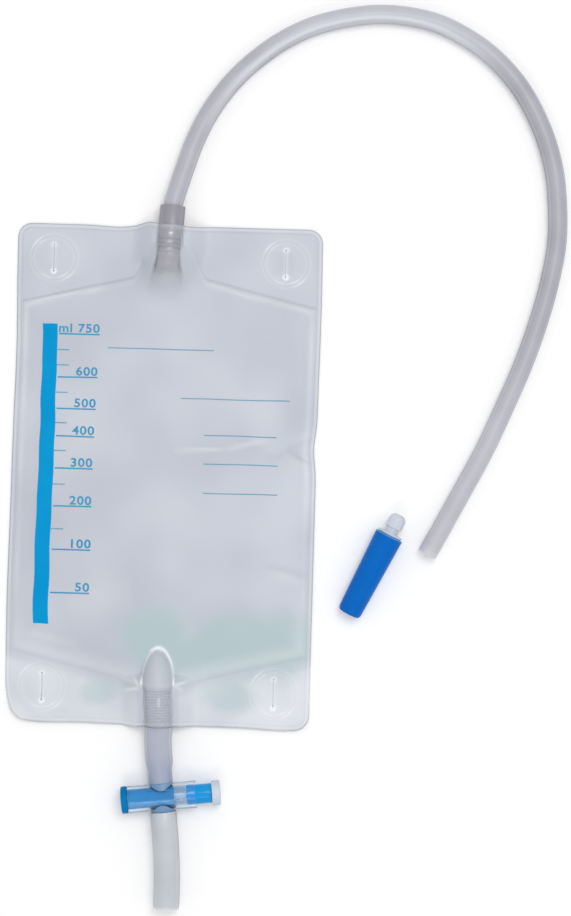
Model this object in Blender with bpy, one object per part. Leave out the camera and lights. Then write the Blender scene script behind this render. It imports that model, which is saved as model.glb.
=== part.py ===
"""Urine drainage bag: two welded films with ports, a slide tap, tubes and a capped connector.

Metres, +Z up. The bag lies on its back film. The origin is the middle of the bag on the plane
that it lies on, +X across the bag and +Y towards the inlet.
"""

import math

import bmesh
import bpy
from mathutils import Matrix, Vector

MM = 0.001

# Gap kept between pieces that touch, and the distance at which two points count as one
CLEARANCE = 0.3 * MM
SAME = 0.001 * MM

# Bag films
BAG_WIDTH = 152 * MM
BAG_LENGTH = 249 * MM
CORNER_RADIUS = 7 * MM
FILM = 0.4 * MM
SIDE_WELD = 2.6 * MM
CROWN = 3.2 * MM
CROWN_RISE = 9 * MM
SHOULDER_SLOPE = math.radians(13.5)
INLET_SHOULDER_INSET = 22.3 * MM
OUTLET_SHOULDER_INSET = 18.1 * MM
BLANK_HEIGHT = 60 * MM

# How the films leave a port: width of the skirt beside it, where they let go of it inside its
# inner end, and how far outside that end its dome starts
SKIRT = 13 * MM
LET_GO_START = 1 * MM
LET_GO_END = 7 * MM
DOME_START = 3 * MM
DOME_WIDTH = 8.5 * MM

# Corner buttonholes, for the straps
BUTTONHOLE_INSET = Vector((18.1 * MM, 17.3 * MM))
BUTTONHOLE_LENGTH = 14 * MM
SLIT = 0.8 * MM
SLIT_END = 2.4 * MM
WELD_RING_OUTER = 11.6 * MM
WELD_RING_WIDTH = 1.9 * MM
WELD_RING_HEIGHT = 0.25 * MM

# Inlet tube, a free tube with a bare far end
TUBE_RADIUS = 4.8 * MM
TUBE_SPACING = 19 * MM
TUBE_LEAD = 8 * MM

# Inlet port, which holds the inlet tube, its places measured in from the bag's top edge
INLET_WALL = 1.15 * MM
INLET_LEAN = math.radians(3.5)
INLET_MIDDLE_X = 0.1 * MM
INLET_MIDDLE_INSET = 6.5 * MM
INLET_STANDS_OUT = 9.5 * MM
INLET_STOP_INSET = 5.5 * MM
INLET_INNER_INSET = 14 * MM
INLET_RIBS = 3
INLET_STOP_RADIUS = 3.9 * MM
INLET_DOME = 22 * MM
INLET_FLARE = 0.3

# Non-return valve, a flattened sleeve of film
VALVE_WALL = 0.4 * MM
VALVE_LENGTH = 15 * MM
VALVE_COLLAR = 1 * MM
VALVE_RADIUS = 6 * MM
VALVE_LIP_WIDTH = 17.4 * MM
VALVE_LIP_OPENING = 0.5 * MM

# Outlet tube, welded between the films and pushed on the tap, its places measured in from the
# bag's bottom edge
OUTLET_RADIUS = 6.75 * MM
OUTLET_BORE = 5.3 * MM
OUTLET_GRIP_RADIUS = 5.9 * MM
OUTLET_LEAN = math.radians(3)
OUTLET_MIDDLE_X = 0.8 * MM
OUTLET_MIDDLE_INSET = 10 * MM
OUTLET_INNER_INSET = 20 * MM
OUTLET_DOME = 18 * MM
OUTLET_FLARE = 0
OUTLET_RIBS = 4
OUTLET_RIB_PITCH = 3.4 * MM
OUTLET_STRAIGHT = 1 * MM
OUTLET_SLEEVE = 2 * MM
OUTLET_BOW = -0.25 * MM
RIB_HEIGHT = 0.25 * MM

# Slide tap, its middle below the bag's bottom edge
TAP_X = 4.1 * MM
TAP_BELOW_BAG = 35.5 * MM
TAP_TURN = math.radians(6.3)
BARREL_RADIUS = 6.75 * MM
BARREL_HALF_LENGTH = 17 * MM
BARREL_CHAMFER = 0.5 * MM
SLIDER_RADIUS = 4.88 * MM
FLOW_BORE = 2.5 * MM
BOSS_RADIUS = 5.7 * MM
BOSS_REACH = 8.2 * MM
STUB_REACH = 20.5 * MM
BARB_LENGTH = 3.5 * MM
BARB_STEP = 0.6 * MM
END_DISC = 3 * MM
WAIST_START = 5.9 * MM
WAIST_LENGTH = 6.4 * MM
SPINDLE_RADIUS = 1.75 * MM
SPINDLE_SOCKET = 8 * MM
SLIDE_TRAVEL = 7.7 * MM
KNOB_RADIUS = 6.25 * MM
KNOB_THICKNESS = 4 * MM
TAP_ROUNDING = 0.6 * MM

# Drain tube, its end placed from the tap's middle
DRAIN_RADIUS = 6.5 * MM
DRAIN_BORE = 4.35 * MM
DRAIN_REACH = 55.4 * MM
DRAIN_ASIDE = 3.5 * MM
DRAIN_BOW = 0.55 * MM
DRAIN_SLEEVE = 1 * MM
DRAIN_LIP = 0.25 * MM

# Connector and its cap, lying beside the bag
CAP_MOUTH = Vector((113.3 * MM, -26.7 * MM))
CAP_TURN = math.radians(64.2)
CAP_LENGTH = 44.2 * MM
CAP_MOUTH_RADIUS = 7.2 * MM
CAP_END_RADIUS = 5.95 * MM
CAP_WALL = 1.3 * MM
CAP_ROUNDING = 2.4 * MM
CAP_LIP = 0.4 * MM
FLANGE_RADIUS = 6.5 * MM
FLANGE_THICKNESS = 1 * MM
PLUG_LENGTH = 3 * MM
PLUG_TAPER = 0.3 * MM
PLUG_EASE = 0.1 * MM
NOZZLE_STEPS = ((4.7 * MM, 11 * MM), (4.1 * MM, 11 * MM), (3.5 * MM, 11 * MM))
NOZZLE_TAPER = 0.35 * MM
NOZZLE_SHOULDER = 0.8 * MM
NOZZLE_TIP_STEP = 0.6 * MM
NECK_RADIUS = 3.4 * MM
NECK_LENGTH = 2.6 * MM
STUB_RADIUS = 4.3 * MM
STUB_LENGTH = 7.3 * MM
STUB_SHOULDER = 0.5 * MM
# Rounding of the stub's tip, as (length before the tip, radius lost)
STUB_TIP = ((2.6 * MM, 0), (1.2 * MM, 0.5 * MM), (0.3 * MM, 1.3 * MM))
CONNECTOR_BORE = 2.4 * MM

SIDES = 24
GUIDE_MARGIN = 5 * MM

# Radius at which the films close round each port, over facets of an eighth of a half turn
FACET_EASE = 1 / math.cos(math.pi / 16)
INLET_RADIUS = TUBE_RADIUS + CLEARANCE + INLET_WALL
INLET_HUG = (INLET_RADIUS + CLEARANCE) * FACET_EASE
OUTLET_HUG = (OUTLET_RADIUS + CLEARANCE) * FACET_EASE

# Places along the bag, from its middle
BAG_END = BAG_LENGTH / 2
INLET_SHOULDER = BAG_END - INLET_SHOULDER_INSET
OUTLET_SHOULDER = BAG_END - OUTLET_SHOULDER_INSET
INLET_MIDDLE = Vector((INLET_MIDDLE_X, BAG_END - INLET_MIDDLE_INSET))
INLET_OUTER_END = BAG_END + INLET_STANDS_OUT
INLET_STOP = BAG_END - INLET_STOP_INSET
INLET_INNER_END = BAG_END - INLET_INNER_INSET
OUTLET_MIDDLE = Vector((OUTLET_MIDDLE_X, OUTLET_MIDDLE_INSET - BAG_END))
OUTLET_INNER_END = BAG_END - OUTLET_INNER_INSET
TAP_CENTRE = Vector((TAP_X, -BAG_END - TAP_BELOW_BAG))
DRAIN_END = TAP_CENTRE + Vector((DRAIN_ASIDE, -DRAIN_REACH))

# Heights of the axes above the surface that the bag lies on
INLET_HEIGHT = FILM + INLET_HUG
OUTLET_HEIGHT = FILM + OUTLET_HUG
TAP_HEIGHT = BARREL_RADIUS
BARREL_BORE = SLIDER_RADIUS + CLEARANCE
KNOB_FACE = BARREL_HALF_LENGTH + CLEARANCE + SLIDE_TRAVEL


def clear_scene():
    for item in list(bpy.data.objects):
        bpy.data.objects.remove(item, do_unlink=True)


def plastic(name, colour, roughness, alpha=1.0):
    """A plain moulded or film material with the piece's colour."""
    made = bpy.data.materials.new(name)
    made.use_nodes = True
    shader = made.node_tree.nodes["Principled BSDF"]
    shader.inputs["Base Color"].default_value = (*colour, 1)
    shader.inputs["Roughness"].default_value = roughness
    shader.inputs["Metallic"].default_value = 0
    shader.inputs["Alpha"].default_value = alpha
    made.diffuse_color = (*colour, alpha)
    return made


def add_object(name, mesh, material, parent=None, smooth=True):
    item = bpy.data.objects.new(name, mesh)
    bpy.context.collection.objects.link(item)
    if material:
        mesh.materials.append(material)
    if smooth:
        mesh.shade_smooth()
        mesh.set_sharp_from_angle(angle=math.radians(35))
    item.parent = parent
    return item


def mesh_of(name, bm):
    bmesh.ops.recalc_face_normals(bm, faces=bm.faces)
    mesh = bpy.data.meshes.new(name)
    bm.to_mesh(mesh)
    bm.free()
    return mesh


def axis_empty(name, place, turn, tilt=0.0):
    """An empty whose +X axis is the line that the pieces parented to it slide along."""
    item = bpy.data.objects.new(name, None)
    item.location = place
    item.rotation_euler = (0, -tilt, turn)
    item.empty_display_size = 0.01
    bpy.context.collection.objects.link(item)
    return item


def smoothstep(low, high, value):
    t = min(1.0, max(0.0, (value - low) / (high - low)))
    return t * t * (3 - 2 * t)


def turned_mesh(name, outline):
    """A closed outline of (along, radius) points, turned about the X axis."""
    bm = bmesh.new()
    points = [bm.verts.new((along, radius, 0)) for along, radius in outline]
    edges = [bm.edges.new((a, b)) for a, b in zip(points, points[1:])]
    if min(radius for _, radius in outline) > 0:
        edges.append(bm.edges.new((points[-1], points[0])))
    bmesh.ops.spin(
        bm,
        geom=points + edges,
        cent=(0, 0, 0),
        axis=(1, 0, 0),
        angle=math.tau,
        steps=SIDES,
        use_merge=True,
    )
    bmesh.ops.remove_doubles(bm, verts=bm.verts, dist=SAME)
    return mesh_of(name, bm)


def section(bm, centre, direction, width, height):
    """One round or flattened ring of a tube, square to direction."""
    ring = bmesh.ops.create_circle(bm, segments=SIDES, radius=1)["verts"]
    across = direction.cross(Vector((0, 0, 1))).normalized()
    upward = across.cross(direction).normalized()
    turn = Matrix((across * width, upward * height, direction)).transposed().to_4x4()
    bmesh.ops.transform(bm, verts=ring, matrix=Matrix.Translation(centre) @ turn)
    return ring


def join_rings(bm, first, second):
    """A band of faces between two rings with the same count of points."""
    for i in range(len(first)):
        bm.faces.new((first[i - 1], first[i], second[i], second[i - 1]))


def tube_mesh(name, stations):
    """A hollow tube through stations of (centre, outer size, inner size), sizes as (half width, half height)."""
    bm = bmesh.new()
    centres = [Vector(centre) for centre, _, _ in stations]
    outer, inner = [], []
    for i, (_, outside, inside) in enumerate(stations):
        before = centres[max(i - 1, 0)]
        after = centres[min(i + 1, len(centres) - 1)]
        direction = (after - before).normalized()
        outer.append(section(bm, centres[i], direction, *outside))
        inner.append(section(bm, centres[i], direction, *inside))
    skin = [*outer, *reversed(inner)]
    for a, b in zip(skin, skin[1:] + skin[:1]):
        join_rings(bm, a, b)
    return mesh_of(name, bm)


def round_size(radius):
    return (radius, radius)


def add_boolean(item, cutter, operation, solver="EXACT"):
    modifier = item.modifiers.new(operation.lower(), "BOOLEAN")
    modifier.operation = operation
    modifier.object = cutter
    modifier.solver = solver
    cutter.hide_render = True
    cutter.display_type = "WIRE"


def leaning_x(middle, lean, y):
    """Where a leaning port's axis crosses the line at y."""
    return middle.x + math.tan(lean) * (y - middle.y)


def inlet_axis(y):
    return Vector((leaning_x(INLET_MIDDLE, INLET_LEAN, y), y, INLET_HEIGHT))


def outlet_axis(y):
    return Vector((leaning_x(OUTLET_MIDDLE, -OUTLET_LEAN, y), y, OUTLET_HEIGHT))


# Each port as the films see it: axis line, hugging radius, distance inside its inner end, dome and flare
PORTS = (
    (inlet_axis, INLET_HUG, lambda y: INLET_INNER_END - y, INLET_DOME, INLET_FLARE),
    (outlet_axis, OUTLET_HUG, lambda y: y + OUTLET_INNER_END, OUTLET_DOME, OUTLET_FLARE),
)


def chamber_depth(x, y):
    """Distance from the chamber's weld line, negative on the welded border and tabs."""
    side = BAG_WIDTH / 2 - SIDE_WELD - abs(x)
    fall = abs(x) * math.tan(SHOULDER_SLOPE)
    top = (INLET_SHOULDER - fall - y) * math.cos(SHOULDER_SLOPE)
    bottom = (y + OUTLET_SHOULDER - fall) * math.cos(SHOULDER_SLOPE)
    return min(side, top, bottom)


def film_faces(x, y):
    """Height of the back film's upper face and of the front film's lower face."""
    weld = FILM + CLEARANCE / 2
    depth = max(0.0, chamber_depth(x, y))
    back = FILM
    front = FILM + CLEARANCE + CROWN * (1 - math.exp(-depth / CROWN_RISE))
    for axis, hug, inside, dome, flare in PORTS:
        centre = axis(y)
        away = abs(x - centre.x)
        within = inside(y)
        hold = 1 - smoothstep(LET_GO_START, LET_GO_END, within)
        if away < hug:
            half = math.sqrt(hug**2 - away**2)
            low, high = centre.z - half, centre.z + half
        else:
            seam = weld + (centre.z - weld) * (1 - smoothstep(0, SKIRT, away - hug))
            low, high = seam - CLEARANCE / 2, seam + CLEARANCE / 2
        back += hold * (low - FILM)
        front = max(front, FILM + CLEARANCE + hold * (high - FILM - CLEARANCE))
        width = hug + (DOME_WIDTH - hug) * smoothstep(-DOME_START, 0, within) + flare * max(0.0, within)
        reach = 1 - (away / width) ** 2 - (max(0.0, within) / dome) ** 2
        if within > -DOME_START and reach > 0:
            top = centre.z + hug - FILM - CLEARANCE
            front = max(front, FILM + CLEARANCE + top * math.sqrt(reach))
    return back, front


def film_columns():
    """Distances from the port axis: round the ports by angle, then out to the bag's sides."""
    side = BAG_WIDTH / 2 - SIDE_WELD
    start = OUTLET_HUG + SKIRT
    beside = [OUTLET_HUG * math.sin(math.radians(angle)) for angle in (0, 22.5, 45, 67.5, 82, 90)]
    beside += [OUTLET_HUG + SKIRT * share for share in (0.1, 0.3, 0.55, 0.8)]
    beside += [start + (side - start) * step / 6 for step in range(7)]
    beside += [side + SIDE_WELD + GUIDE_MARGIN]
    return [-d for d in reversed(beside[1:])] + beside


def film_rows():
    """Places along the bag where the films' shape changes, each at the middle of the bag."""
    top_dome = [INLET_INNER_END - INLET_DOME * share for share in (0.25, 0.5, 0.75, 1)]
    bottom_dome = [OUTLET_INNER_END - OUTLET_DOME * share for share in (0.2, 0.45, 0.7, 0.88, 1)]
    past = 0.7 * MM
    before = 7 * MM
    end = BAG_END + GUIDE_MARGIN
    top = [end, INLET_INNER_END + DOME_START, INLET_INNER_END - past, *top_dome]
    bottom = [end, OUTLET_INNER_END + DOME_START, OUTLET_INNER_END - past, *bottom_dome]
    top += [INLET_INNER_END + before, INLET_SHOULDER, INLET_SHOULDER - CROWN_RISE]
    bottom += [OUTLET_SHOULDER, OUTLET_SHOULDER - CROWN_RISE]
    middle = [BAG_LENGTH * share for share in (-0.26, -0.17, -0.06, 0.06, 0.17, 0.26)]
    return sorted([*top, *(-y for y in bottom), *middle])


def row_bend(y):
    """How far a row follows the slope of the shoulder welds."""
    if y > 0:
        beyond = (BAG_END - y) / INLET_SHOULDER_INSET
        return min(1.0, max(0.0, beyond)) * smoothstep(0, INLET_SHOULDER, y)
    beyond = (BAG_END + y) / OUTLET_SHOULDER_INSET
    return -min(1.0, max(0.0, beyond)) * smoothstep(0, OUTLET_SHOULDER, -y)


def film_sheet(name, side):
    """One face of a film, as a grid whose lines follow the ports and the shoulders. side is 0 for back."""
    columns = film_columns()
    rows = film_rows()
    bm = bmesh.new()
    bmesh.ops.create_grid(bm, x_segments=len(columns) - 1, y_segments=len(rows) - 1, size=1)
    beside_port = OUTLET_HUG + SKIRT
    limit = BAG_WIDTH / 2 + GUIDE_MARGIN
    floor = FILM + side * CLEARANCE
    for vert in bm.verts:
        i = round((vert.co.x + 1) / 2 * (len(columns) - 1))
        j = round((vert.co.y + 1) / 2 * (len(rows) - 1))
        away = abs(columns[i])
        slope = math.tan(SHOULDER_SLOPE) * smoothstep(OUTLET_HUG, beside_port, away)
        y = rows[j] - row_bend(rows[j]) * slope * away
        share = smoothstep(-OUTLET_INNER_END, INLET_INNER_END, y)
        middle = (1 - share) * outlet_axis(y).x + share * inlet_axis(y).x
        x = columns[i] + middle * (1 - smoothstep(beside_port, limit, away))
        narrower = share * (INLET_HUG - OUTLET_HUG) * min(1.0, away / OUTLET_HUG)
        x += math.copysign(narrower * (1 - smoothstep(beside_port, limit, away)), columns[i])
        vert.co = (x, y, film_faces(x, y)[side])
    shaped = [f for f in bm.faces if any(abs(v.co.z - floor) > SAME for v in f.verts)]
    bmesh.ops.triangulate(bm, faces=shaped, quad_method="FIXED")
    level = [e for e in bm.edges if all(abs(v.co.z - floor) < SAME for v in e.verts)]
    corners = list({v for e in level for v in e.verts})
    bmesh.ops.dissolve_limit(bm, angle_limit=math.radians(0.1), verts=corners, edges=level)
    mesh = bpy.data.meshes.new(name)
    bm.to_mesh(mesh)
    bm.free()
    return mesh


def die_blank():
    """The outline that both films are cut to, as a tall solid."""
    bm = bmesh.new()
    bmesh.ops.create_cube(bm, size=1)
    bmesh.ops.scale(bm, vec=(BAG_WIDTH, BAG_LENGTH, BLANK_HEIGHT), verts=bm.verts)
    corners = [e for e in bm.edges if abs(e.verts[0].co.z - e.verts[1].co.z) > MM]
    bmesh.ops.bevel(
        bm,
        geom=corners,
        offset=CORNER_RADIUS,
        offset_type="OFFSET",
        segments=5,
        profile=0.5,
        affect="EDGES",
        material=-1,
    )
    return add_object("die_blank", mesh_of("die_blank", bm), None, smooth=False)


def buttonhole_centres():
    x = BAG_WIDTH / 2 - BUTTONHOLE_INSET.x
    y = BAG_END - BUTTONHOLE_INSET.y
    return [Vector((sx * x, sy * y, 0)) for sx in (-1, 1) for sy in (-1, 1)]


def prism(bm, outline, low, high):
    """A closed outline raised to a solid between two heights."""
    face = bm.faces.new([bm.verts.new((x, y, low)) for x, y in outline])
    raised = bmesh.ops.extrude_face_region(bm, geom=[face])["geom"]
    tops = [item for item in raised if isinstance(item, bmesh.types.BMVert)]
    bmesh.ops.translate(bm, verts=tops, vec=(0, 0, high - low))


def slit_outline(centre):
    """A narrow slit with a round hole at each end."""
    radius = SLIT_END / 2
    open_angle = math.asin(SLIT / SLIT_END)
    reach = BUTTONHOLE_LENGTH / 2 - radius
    outline = []
    for end in (1, -1):
        for step in range(9):
            angle = end * math.pi / 2 - math.pi + open_angle + step * (math.tau - 2 * open_angle) / 8
            x = centre.x + radius * math.cos(angle)
            outline.append((x, centre.y + end * reach + radius * math.sin(angle)))
    return outline


def slit_cutter():
    bm = bmesh.new()
    for centre in buttonhole_centres():
        prism(bm, slit_outline(centre), -GUIDE_MARGIN, GUIDE_MARGIN)
    return add_object("slit_cutter", mesh_of("slit_cutter", bm), None, smooth=False)


def weld_rings():
    """The raised ring that the weld leaves round each buttonhole."""
    bm = bmesh.new()
    floor = FILM + CLEARANCE + FILM
    for centre in buttonhole_centres():
        rings = []
        for radius, height in (
            (WELD_RING_OUTER, floor - FILM / 2),
            (WELD_RING_OUTER - WELD_RING_HEIGHT, floor + WELD_RING_HEIGHT),
            (WELD_RING_OUTER - WELD_RING_WIDTH + WELD_RING_HEIGHT, floor + WELD_RING_HEIGHT),
            (WELD_RING_OUTER - WELD_RING_WIDTH, floor - FILM / 2),
        ):
            ring = bmesh.ops.create_circle(bm, segments=SIDES, radius=radius)["verts"]
            bmesh.ops.translate(bm, verts=ring, vec=centre + Vector((0, 0, height)))
            rings.append(ring)
        for a, b in zip(rings, rings[1:] + rings[:1]):
            join_rings(bm, a, b)
    return add_object("weld_rings", mesh_of("weld_rings", bm), None, smooth=False)


def add_films(film_material):
    """The back and front films, cut by one die and pierced by the same slits.

    The exact solver loses sheets as thin as these, so their cuts use the manifold one.
    """
    blank = die_blank()
    slits = slit_cutter()
    rings = weld_rings()
    for name, side in (("back_film", 0), ("front_film", 1)):
        film = add_object(name, film_sheet(name, side), film_material)
        thicken = film.modifiers.new("thickness", "SOLIDIFY")
        thicken.thickness = FILM
        thicken.offset = 1 if side else -1
        add_boolean(film, blank, "INTERSECT", "MANIFOLD")
        if side:
            add_boolean(film, rings, "UNION", "MANIFOLD")
        add_boolean(film, slits, "DIFFERENCE", "MANIFOLD")


def add_inlet_port(material):
    """The short port welded in the top of the bag, with a stop for the tube and three shallow ribs."""
    bore = TUBE_RADIUS + CLEARANCE
    rib_pitch = (INLET_STOP - INLET_INNER_END) / (INLET_RIBS + 1)
    stations = [(INLET_OUTER_END, INLET_RADIUS, bore), (INLET_STOP, INLET_RADIUS, bore)]
    stations.append((INLET_STOP - CLEARANCE, INLET_RADIUS, INLET_STOP_RADIUS))
    for rib in range(1, INLET_RIBS + 1):
        y = INLET_STOP - rib * rib_pitch
        stations.append((y + rib_pitch / 4, INLET_RADIUS - RIB_HEIGHT, INLET_STOP_RADIUS))
        stations.append((y - rib_pitch / 4, INLET_RADIUS, INLET_STOP_RADIUS))
    stations.append((INLET_INNER_END, INLET_RADIUS - RIB_HEIGHT, INLET_STOP_RADIUS))
    rings = [(inlet_axis(y), round_size(outer), round_size(inner)) for y, outer, inner in stations]
    add_object("inlet_port", tube_mesh("inlet_port", rings), material)


def add_valve(material):
    """The film sleeve inside the bag, round where it meets the port and pressed flat at its lips."""
    lip_height = VALVE_LIP_OPENING / 2 + VALVE_WALL
    start = INLET_INNER_END - CLEARANCE
    collar = inlet_axis(start), round_size(VALVE_RADIUS), round_size(VALVE_RADIUS - VALVE_WALL)
    rings = [collar]
    for step in range(7):
        share = step / 6
        flat = smoothstep(0, 1, share)
        y = start - VALVE_COLLAR - share * (VALVE_LENGTH - VALVE_COLLAR)
        width = VALVE_RADIUS + flat * (VALVE_LIP_WIDTH / 2 - VALVE_RADIUS)
        height = VALVE_RADIUS + flat * (lip_height - VALVE_RADIUS)
        rest = FILM + CLEARANCE + lip_height
        centre = Vector((inlet_axis(y).x, y, INLET_HEIGHT + flat * (rest - INLET_HEIGHT)))
        outer = (width, height)
        rings.append((centre, outer, (width - VALVE_WALL, height - VALVE_WALL)))
    add_object("non_return_valve", tube_mesh("non_return_valve", rings), material)


def tap_point(down, height):
    """A point on the line of the tap's two stubs, down metres below the barrel's axis."""
    x = TAP_CENTRE.x + down * math.sin(TAP_TURN)
    return Vector((x, TAP_CENTRE.y - down * math.cos(TAP_TURN), height))


def add_outlet_tube(material):
    """The soft tube from the bag to the tap, with weld ribs and a waist where it grips the stub."""
    inner = -OUTLET_INNER_END
    rings = [(outlet_axis(inner), round_size(OUTLET_RADIUS), round_size(OUTLET_BORE))]
    for rib in range(1, OUTLET_RIBS + 1):
        y = inner - rib * OUTLET_RIB_PITCH
        rings.append((outlet_axis(y), round_size(OUTLET_RADIUS - RIB_HEIGHT), round_size(OUTLET_BORE)))
        y -= OUTLET_RIB_PITCH / 2
        rings.append((outlet_axis(y), round_size(OUTLET_RADIUS), round_size(OUTLET_BORE)))
    edge = outlet_axis(-BAG_END - OUTLET_STRAIGHT)
    rings.append((edge, round_size(OUTLET_RADIUS), round_size(OUTLET_BORE)))
    stub = tap_point(-STUB_REACH - OUTLET_SLEEVE, TAP_HEIGHT)
    middle = (edge + stub) / 2 + Vector((OUTLET_BOW, 0, 0))
    rings.append((middle, round_size(OUTLET_RADIUS), round_size(OUTLET_BORE)))
    grip = OUTLET_BORE - BARB_STEP
    for down, outer, bore in (
        (STUB_REACH + OUTLET_SLEEVE, OUTLET_RADIUS, OUTLET_BORE),
        (STUB_REACH - BARB_LENGTH, OUTLET_RADIUS, OUTLET_BORE),
        (STUB_REACH - 2 * BARB_LENGTH, OUTLET_GRIP_RADIUS, grip),
        (BOSS_REACH + CLEARANCE, OUTLET_GRIP_RADIUS, grip),
    ):
        rings.append((tap_point(-down, TAP_HEIGHT), round_size(outer), round_size(bore)))
    add_object("outlet_tube", tube_mesh("outlet_tube", rings), material)


def stub_outline(barb_radius):
    """Half outline of one stub, from the boss on the barrel out to its barbed end."""
    root_radius = barb_radius - BARB_STEP
    return [
        (0, BOSS_RADIUS),
        (BOSS_REACH, BOSS_RADIUS),
        (BOSS_REACH, root_radius),
        (STUB_REACH - 2 * BARB_LENGTH, root_radius),
        (STUB_REACH - BARB_LENGTH, barb_radius),
        (STUB_REACH - BARB_STEP, barb_radius),
        (STUB_REACH, barb_radius - BARB_STEP),
        (STUB_REACH, 0),
    ]


def add_tap_body(axis, material):
    """The clear barrel with a stub up to the outlet tube and one down to the drain tube.

    The exact solver leaves open edges where the two bores cross, so the second uses the manifold one.
    """
    half = BARREL_HALF_LENGTH
    mouth = BARREL_RADIUS - BARREL_CHAMFER
    shoulder = half - BARREL_CHAMFER
    barrel = [(-half, 0), (-half, mouth), (-shoulder, BARREL_RADIUS)]
    barrel += [(shoulder, BARREL_RADIUS), (half, mouth), (half, 0)]
    body = add_object("tap_body", turned_mesh("tap_body", barrel), material, axis)
    upper = stub_outline(OUTLET_BORE - CLEARANCE)
    lower = stub_outline(DRAIN_BORE - CLEARANCE)
    stubs = [(-along, radius) for along, radius in reversed(lower)] + upper[1:]
    slider_reach = half + GUIDE_MARGIN
    flow_reach = STUB_REACH + GUIDE_MARGIN
    slider_bore = [(-slider_reach, 0), (-slider_reach, BARREL_BORE)]
    slider_bore += [(slider_reach, BARREL_BORE), (slider_reach, 0)]
    flow_bore = [(-flow_reach, 0), (-flow_reach, FLOW_BORE)]
    flow_bore += [(flow_reach, FLOW_BORE), (flow_reach, 0)]
    for name, outline, turn, operation, solver in (
        ("stubs", stubs, math.pi / 2, "UNION", "EXACT"),
        ("slider_bore", slider_bore, 0, "DIFFERENCE", "EXACT"),
        ("flow_bore", flow_bore, math.pi / 2, "DIFFERENCE", "MANIFOLD"),
    ):
        mesh = turned_mesh(name, outline)
        half_facet = math.pi / SIDES if turn else 0
        mesh.transform(Matrix.Rotation(turn, 4, "Z") @ Matrix.Rotation(half_facet, 4, "X"))
        add_boolean(body, add_object(name, mesh, None, axis, smooth=False), operation, solver)


def add_tap_slider(axis, blue, white):
    """The sliding pieces: a blue piston with an end disc, a blue collar and the white spindle with its knob."""
    disc_face = -BARREL_HALF_LENGTH - CLEARANCE
    disc_edge = disc_face - END_DISC
    socket = SPINDLE_RADIUS + CLEARANCE
    socket_end = WAIST_START - SPINDLE_SOCKET
    piston = [
        (disc_edge, 0),
        (disc_edge, BARREL_RADIUS - TAP_ROUNDING),
        (disc_edge + TAP_ROUNDING, BARREL_RADIUS),
        (disc_face, BARREL_RADIUS),
        (disc_face, SLIDER_RADIUS),
        (WAIST_START, SLIDER_RADIUS),
        (WAIST_START, socket),
        (socket_end, socket),
        (socket_end, 0),
    ]
    add_object("tap_piston", turned_mesh("tap_piston", piston), blue, axis)
    waist_end = WAIST_START + WAIST_LENGTH
    collar_end = KNOB_FACE - CLEARANCE
    collar = [
        (waist_end, socket),
        (waist_end, SLIDER_RADIUS),
        (collar_end, SLIDER_RADIUS),
        (collar_end, socket),
    ]
    add_object("tap_collar", turned_mesh("tap_collar", collar), blue, axis)
    knob_end = KNOB_FACE + KNOB_THICKNESS
    spindle = [
        (socket_end + CLEARANCE, 0),
        (socket_end + CLEARANCE, SPINDLE_RADIUS),
        (KNOB_FACE, SPINDLE_RADIUS),
        (KNOB_FACE, KNOB_RADIUS),
        (knob_end - 2 * TAP_ROUNDING, KNOB_RADIUS),
        (knob_end, KNOB_RADIUS - TAP_ROUNDING),
        (knob_end, 0),
    ]
    add_object("tap_spindle", turned_mesh("tap_spindle", spindle), white, axis)


def add_drain_tube(material):
    """The hollow tube that empties the bag, bowed a little and cut square."""
    grip = DRAIN_BORE - BARB_STEP
    rings = []
    for down, bore in (
        (BOSS_REACH + CLEARANCE, grip),
        (STUB_REACH - 2 * BARB_LENGTH, grip),
        (STUB_REACH - BARB_LENGTH, DRAIN_BORE),
        (STUB_REACH + DRAIN_SLEEVE, DRAIN_BORE),
    ):
        rings.append((tap_point(down, TAP_HEIGHT), round_size(DRAIN_RADIUS), round_size(bore)))
    start = rings[-1][0]
    end = Vector((*DRAIN_END, DRAIN_RADIUS))
    bow = Vector((DRAIN_BOW, 0, 0))
    lip_starts = 0.95
    for share in (0.25, 0.5, 0.75, lip_starts, 1):
        centre = start.lerp(end, share) + bow * math.sin(math.pi * share)
        lip = DRAIN_LIP if share == lip_starts else 0
        outer = DRAIN_RADIUS - lip
        rings.append((centre, round_size(outer), round_size(DRAIN_BORE)))
    add_object("drain_tube", tube_mesh("drain_tube", rings), material)


def add_cap(axis, material):
    """The tapered cap, rounded at its closed end, with its mouth at the axis origin."""
    taper = (CAP_MOUTH_RADIUS - CAP_END_RADIUS) / CAP_LENGTH
    start = -CAP_LENGTH
    outline = [(start, 0)]
    for step in range(5):
        angle = math.pi / 2 * step / 4
        along = start + CAP_ROUNDING * (1 - math.cos(angle))
        radius = CAP_END_RADIUS - CAP_ROUNDING * (1 - math.sin(angle))
        outline.append((along, radius + taper * (along - start)))
    inner_end = start + 2 * CAP_WALL
    inner_radius = CAP_END_RADIUS - CAP_WALL
    outline += [
        (-CAP_LIP, CAP_MOUTH_RADIUS),
        (0, CAP_MOUTH_RADIUS - CAP_LIP),
        (0, CAP_MOUTH_RADIUS - CAP_WALL),
        (inner_end, inner_radius + taper * (inner_end - start)),
        (inner_end, 0),
    ]
    add_object("connector_cap", turned_mesh("connector_cap", outline), material, axis)


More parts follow.
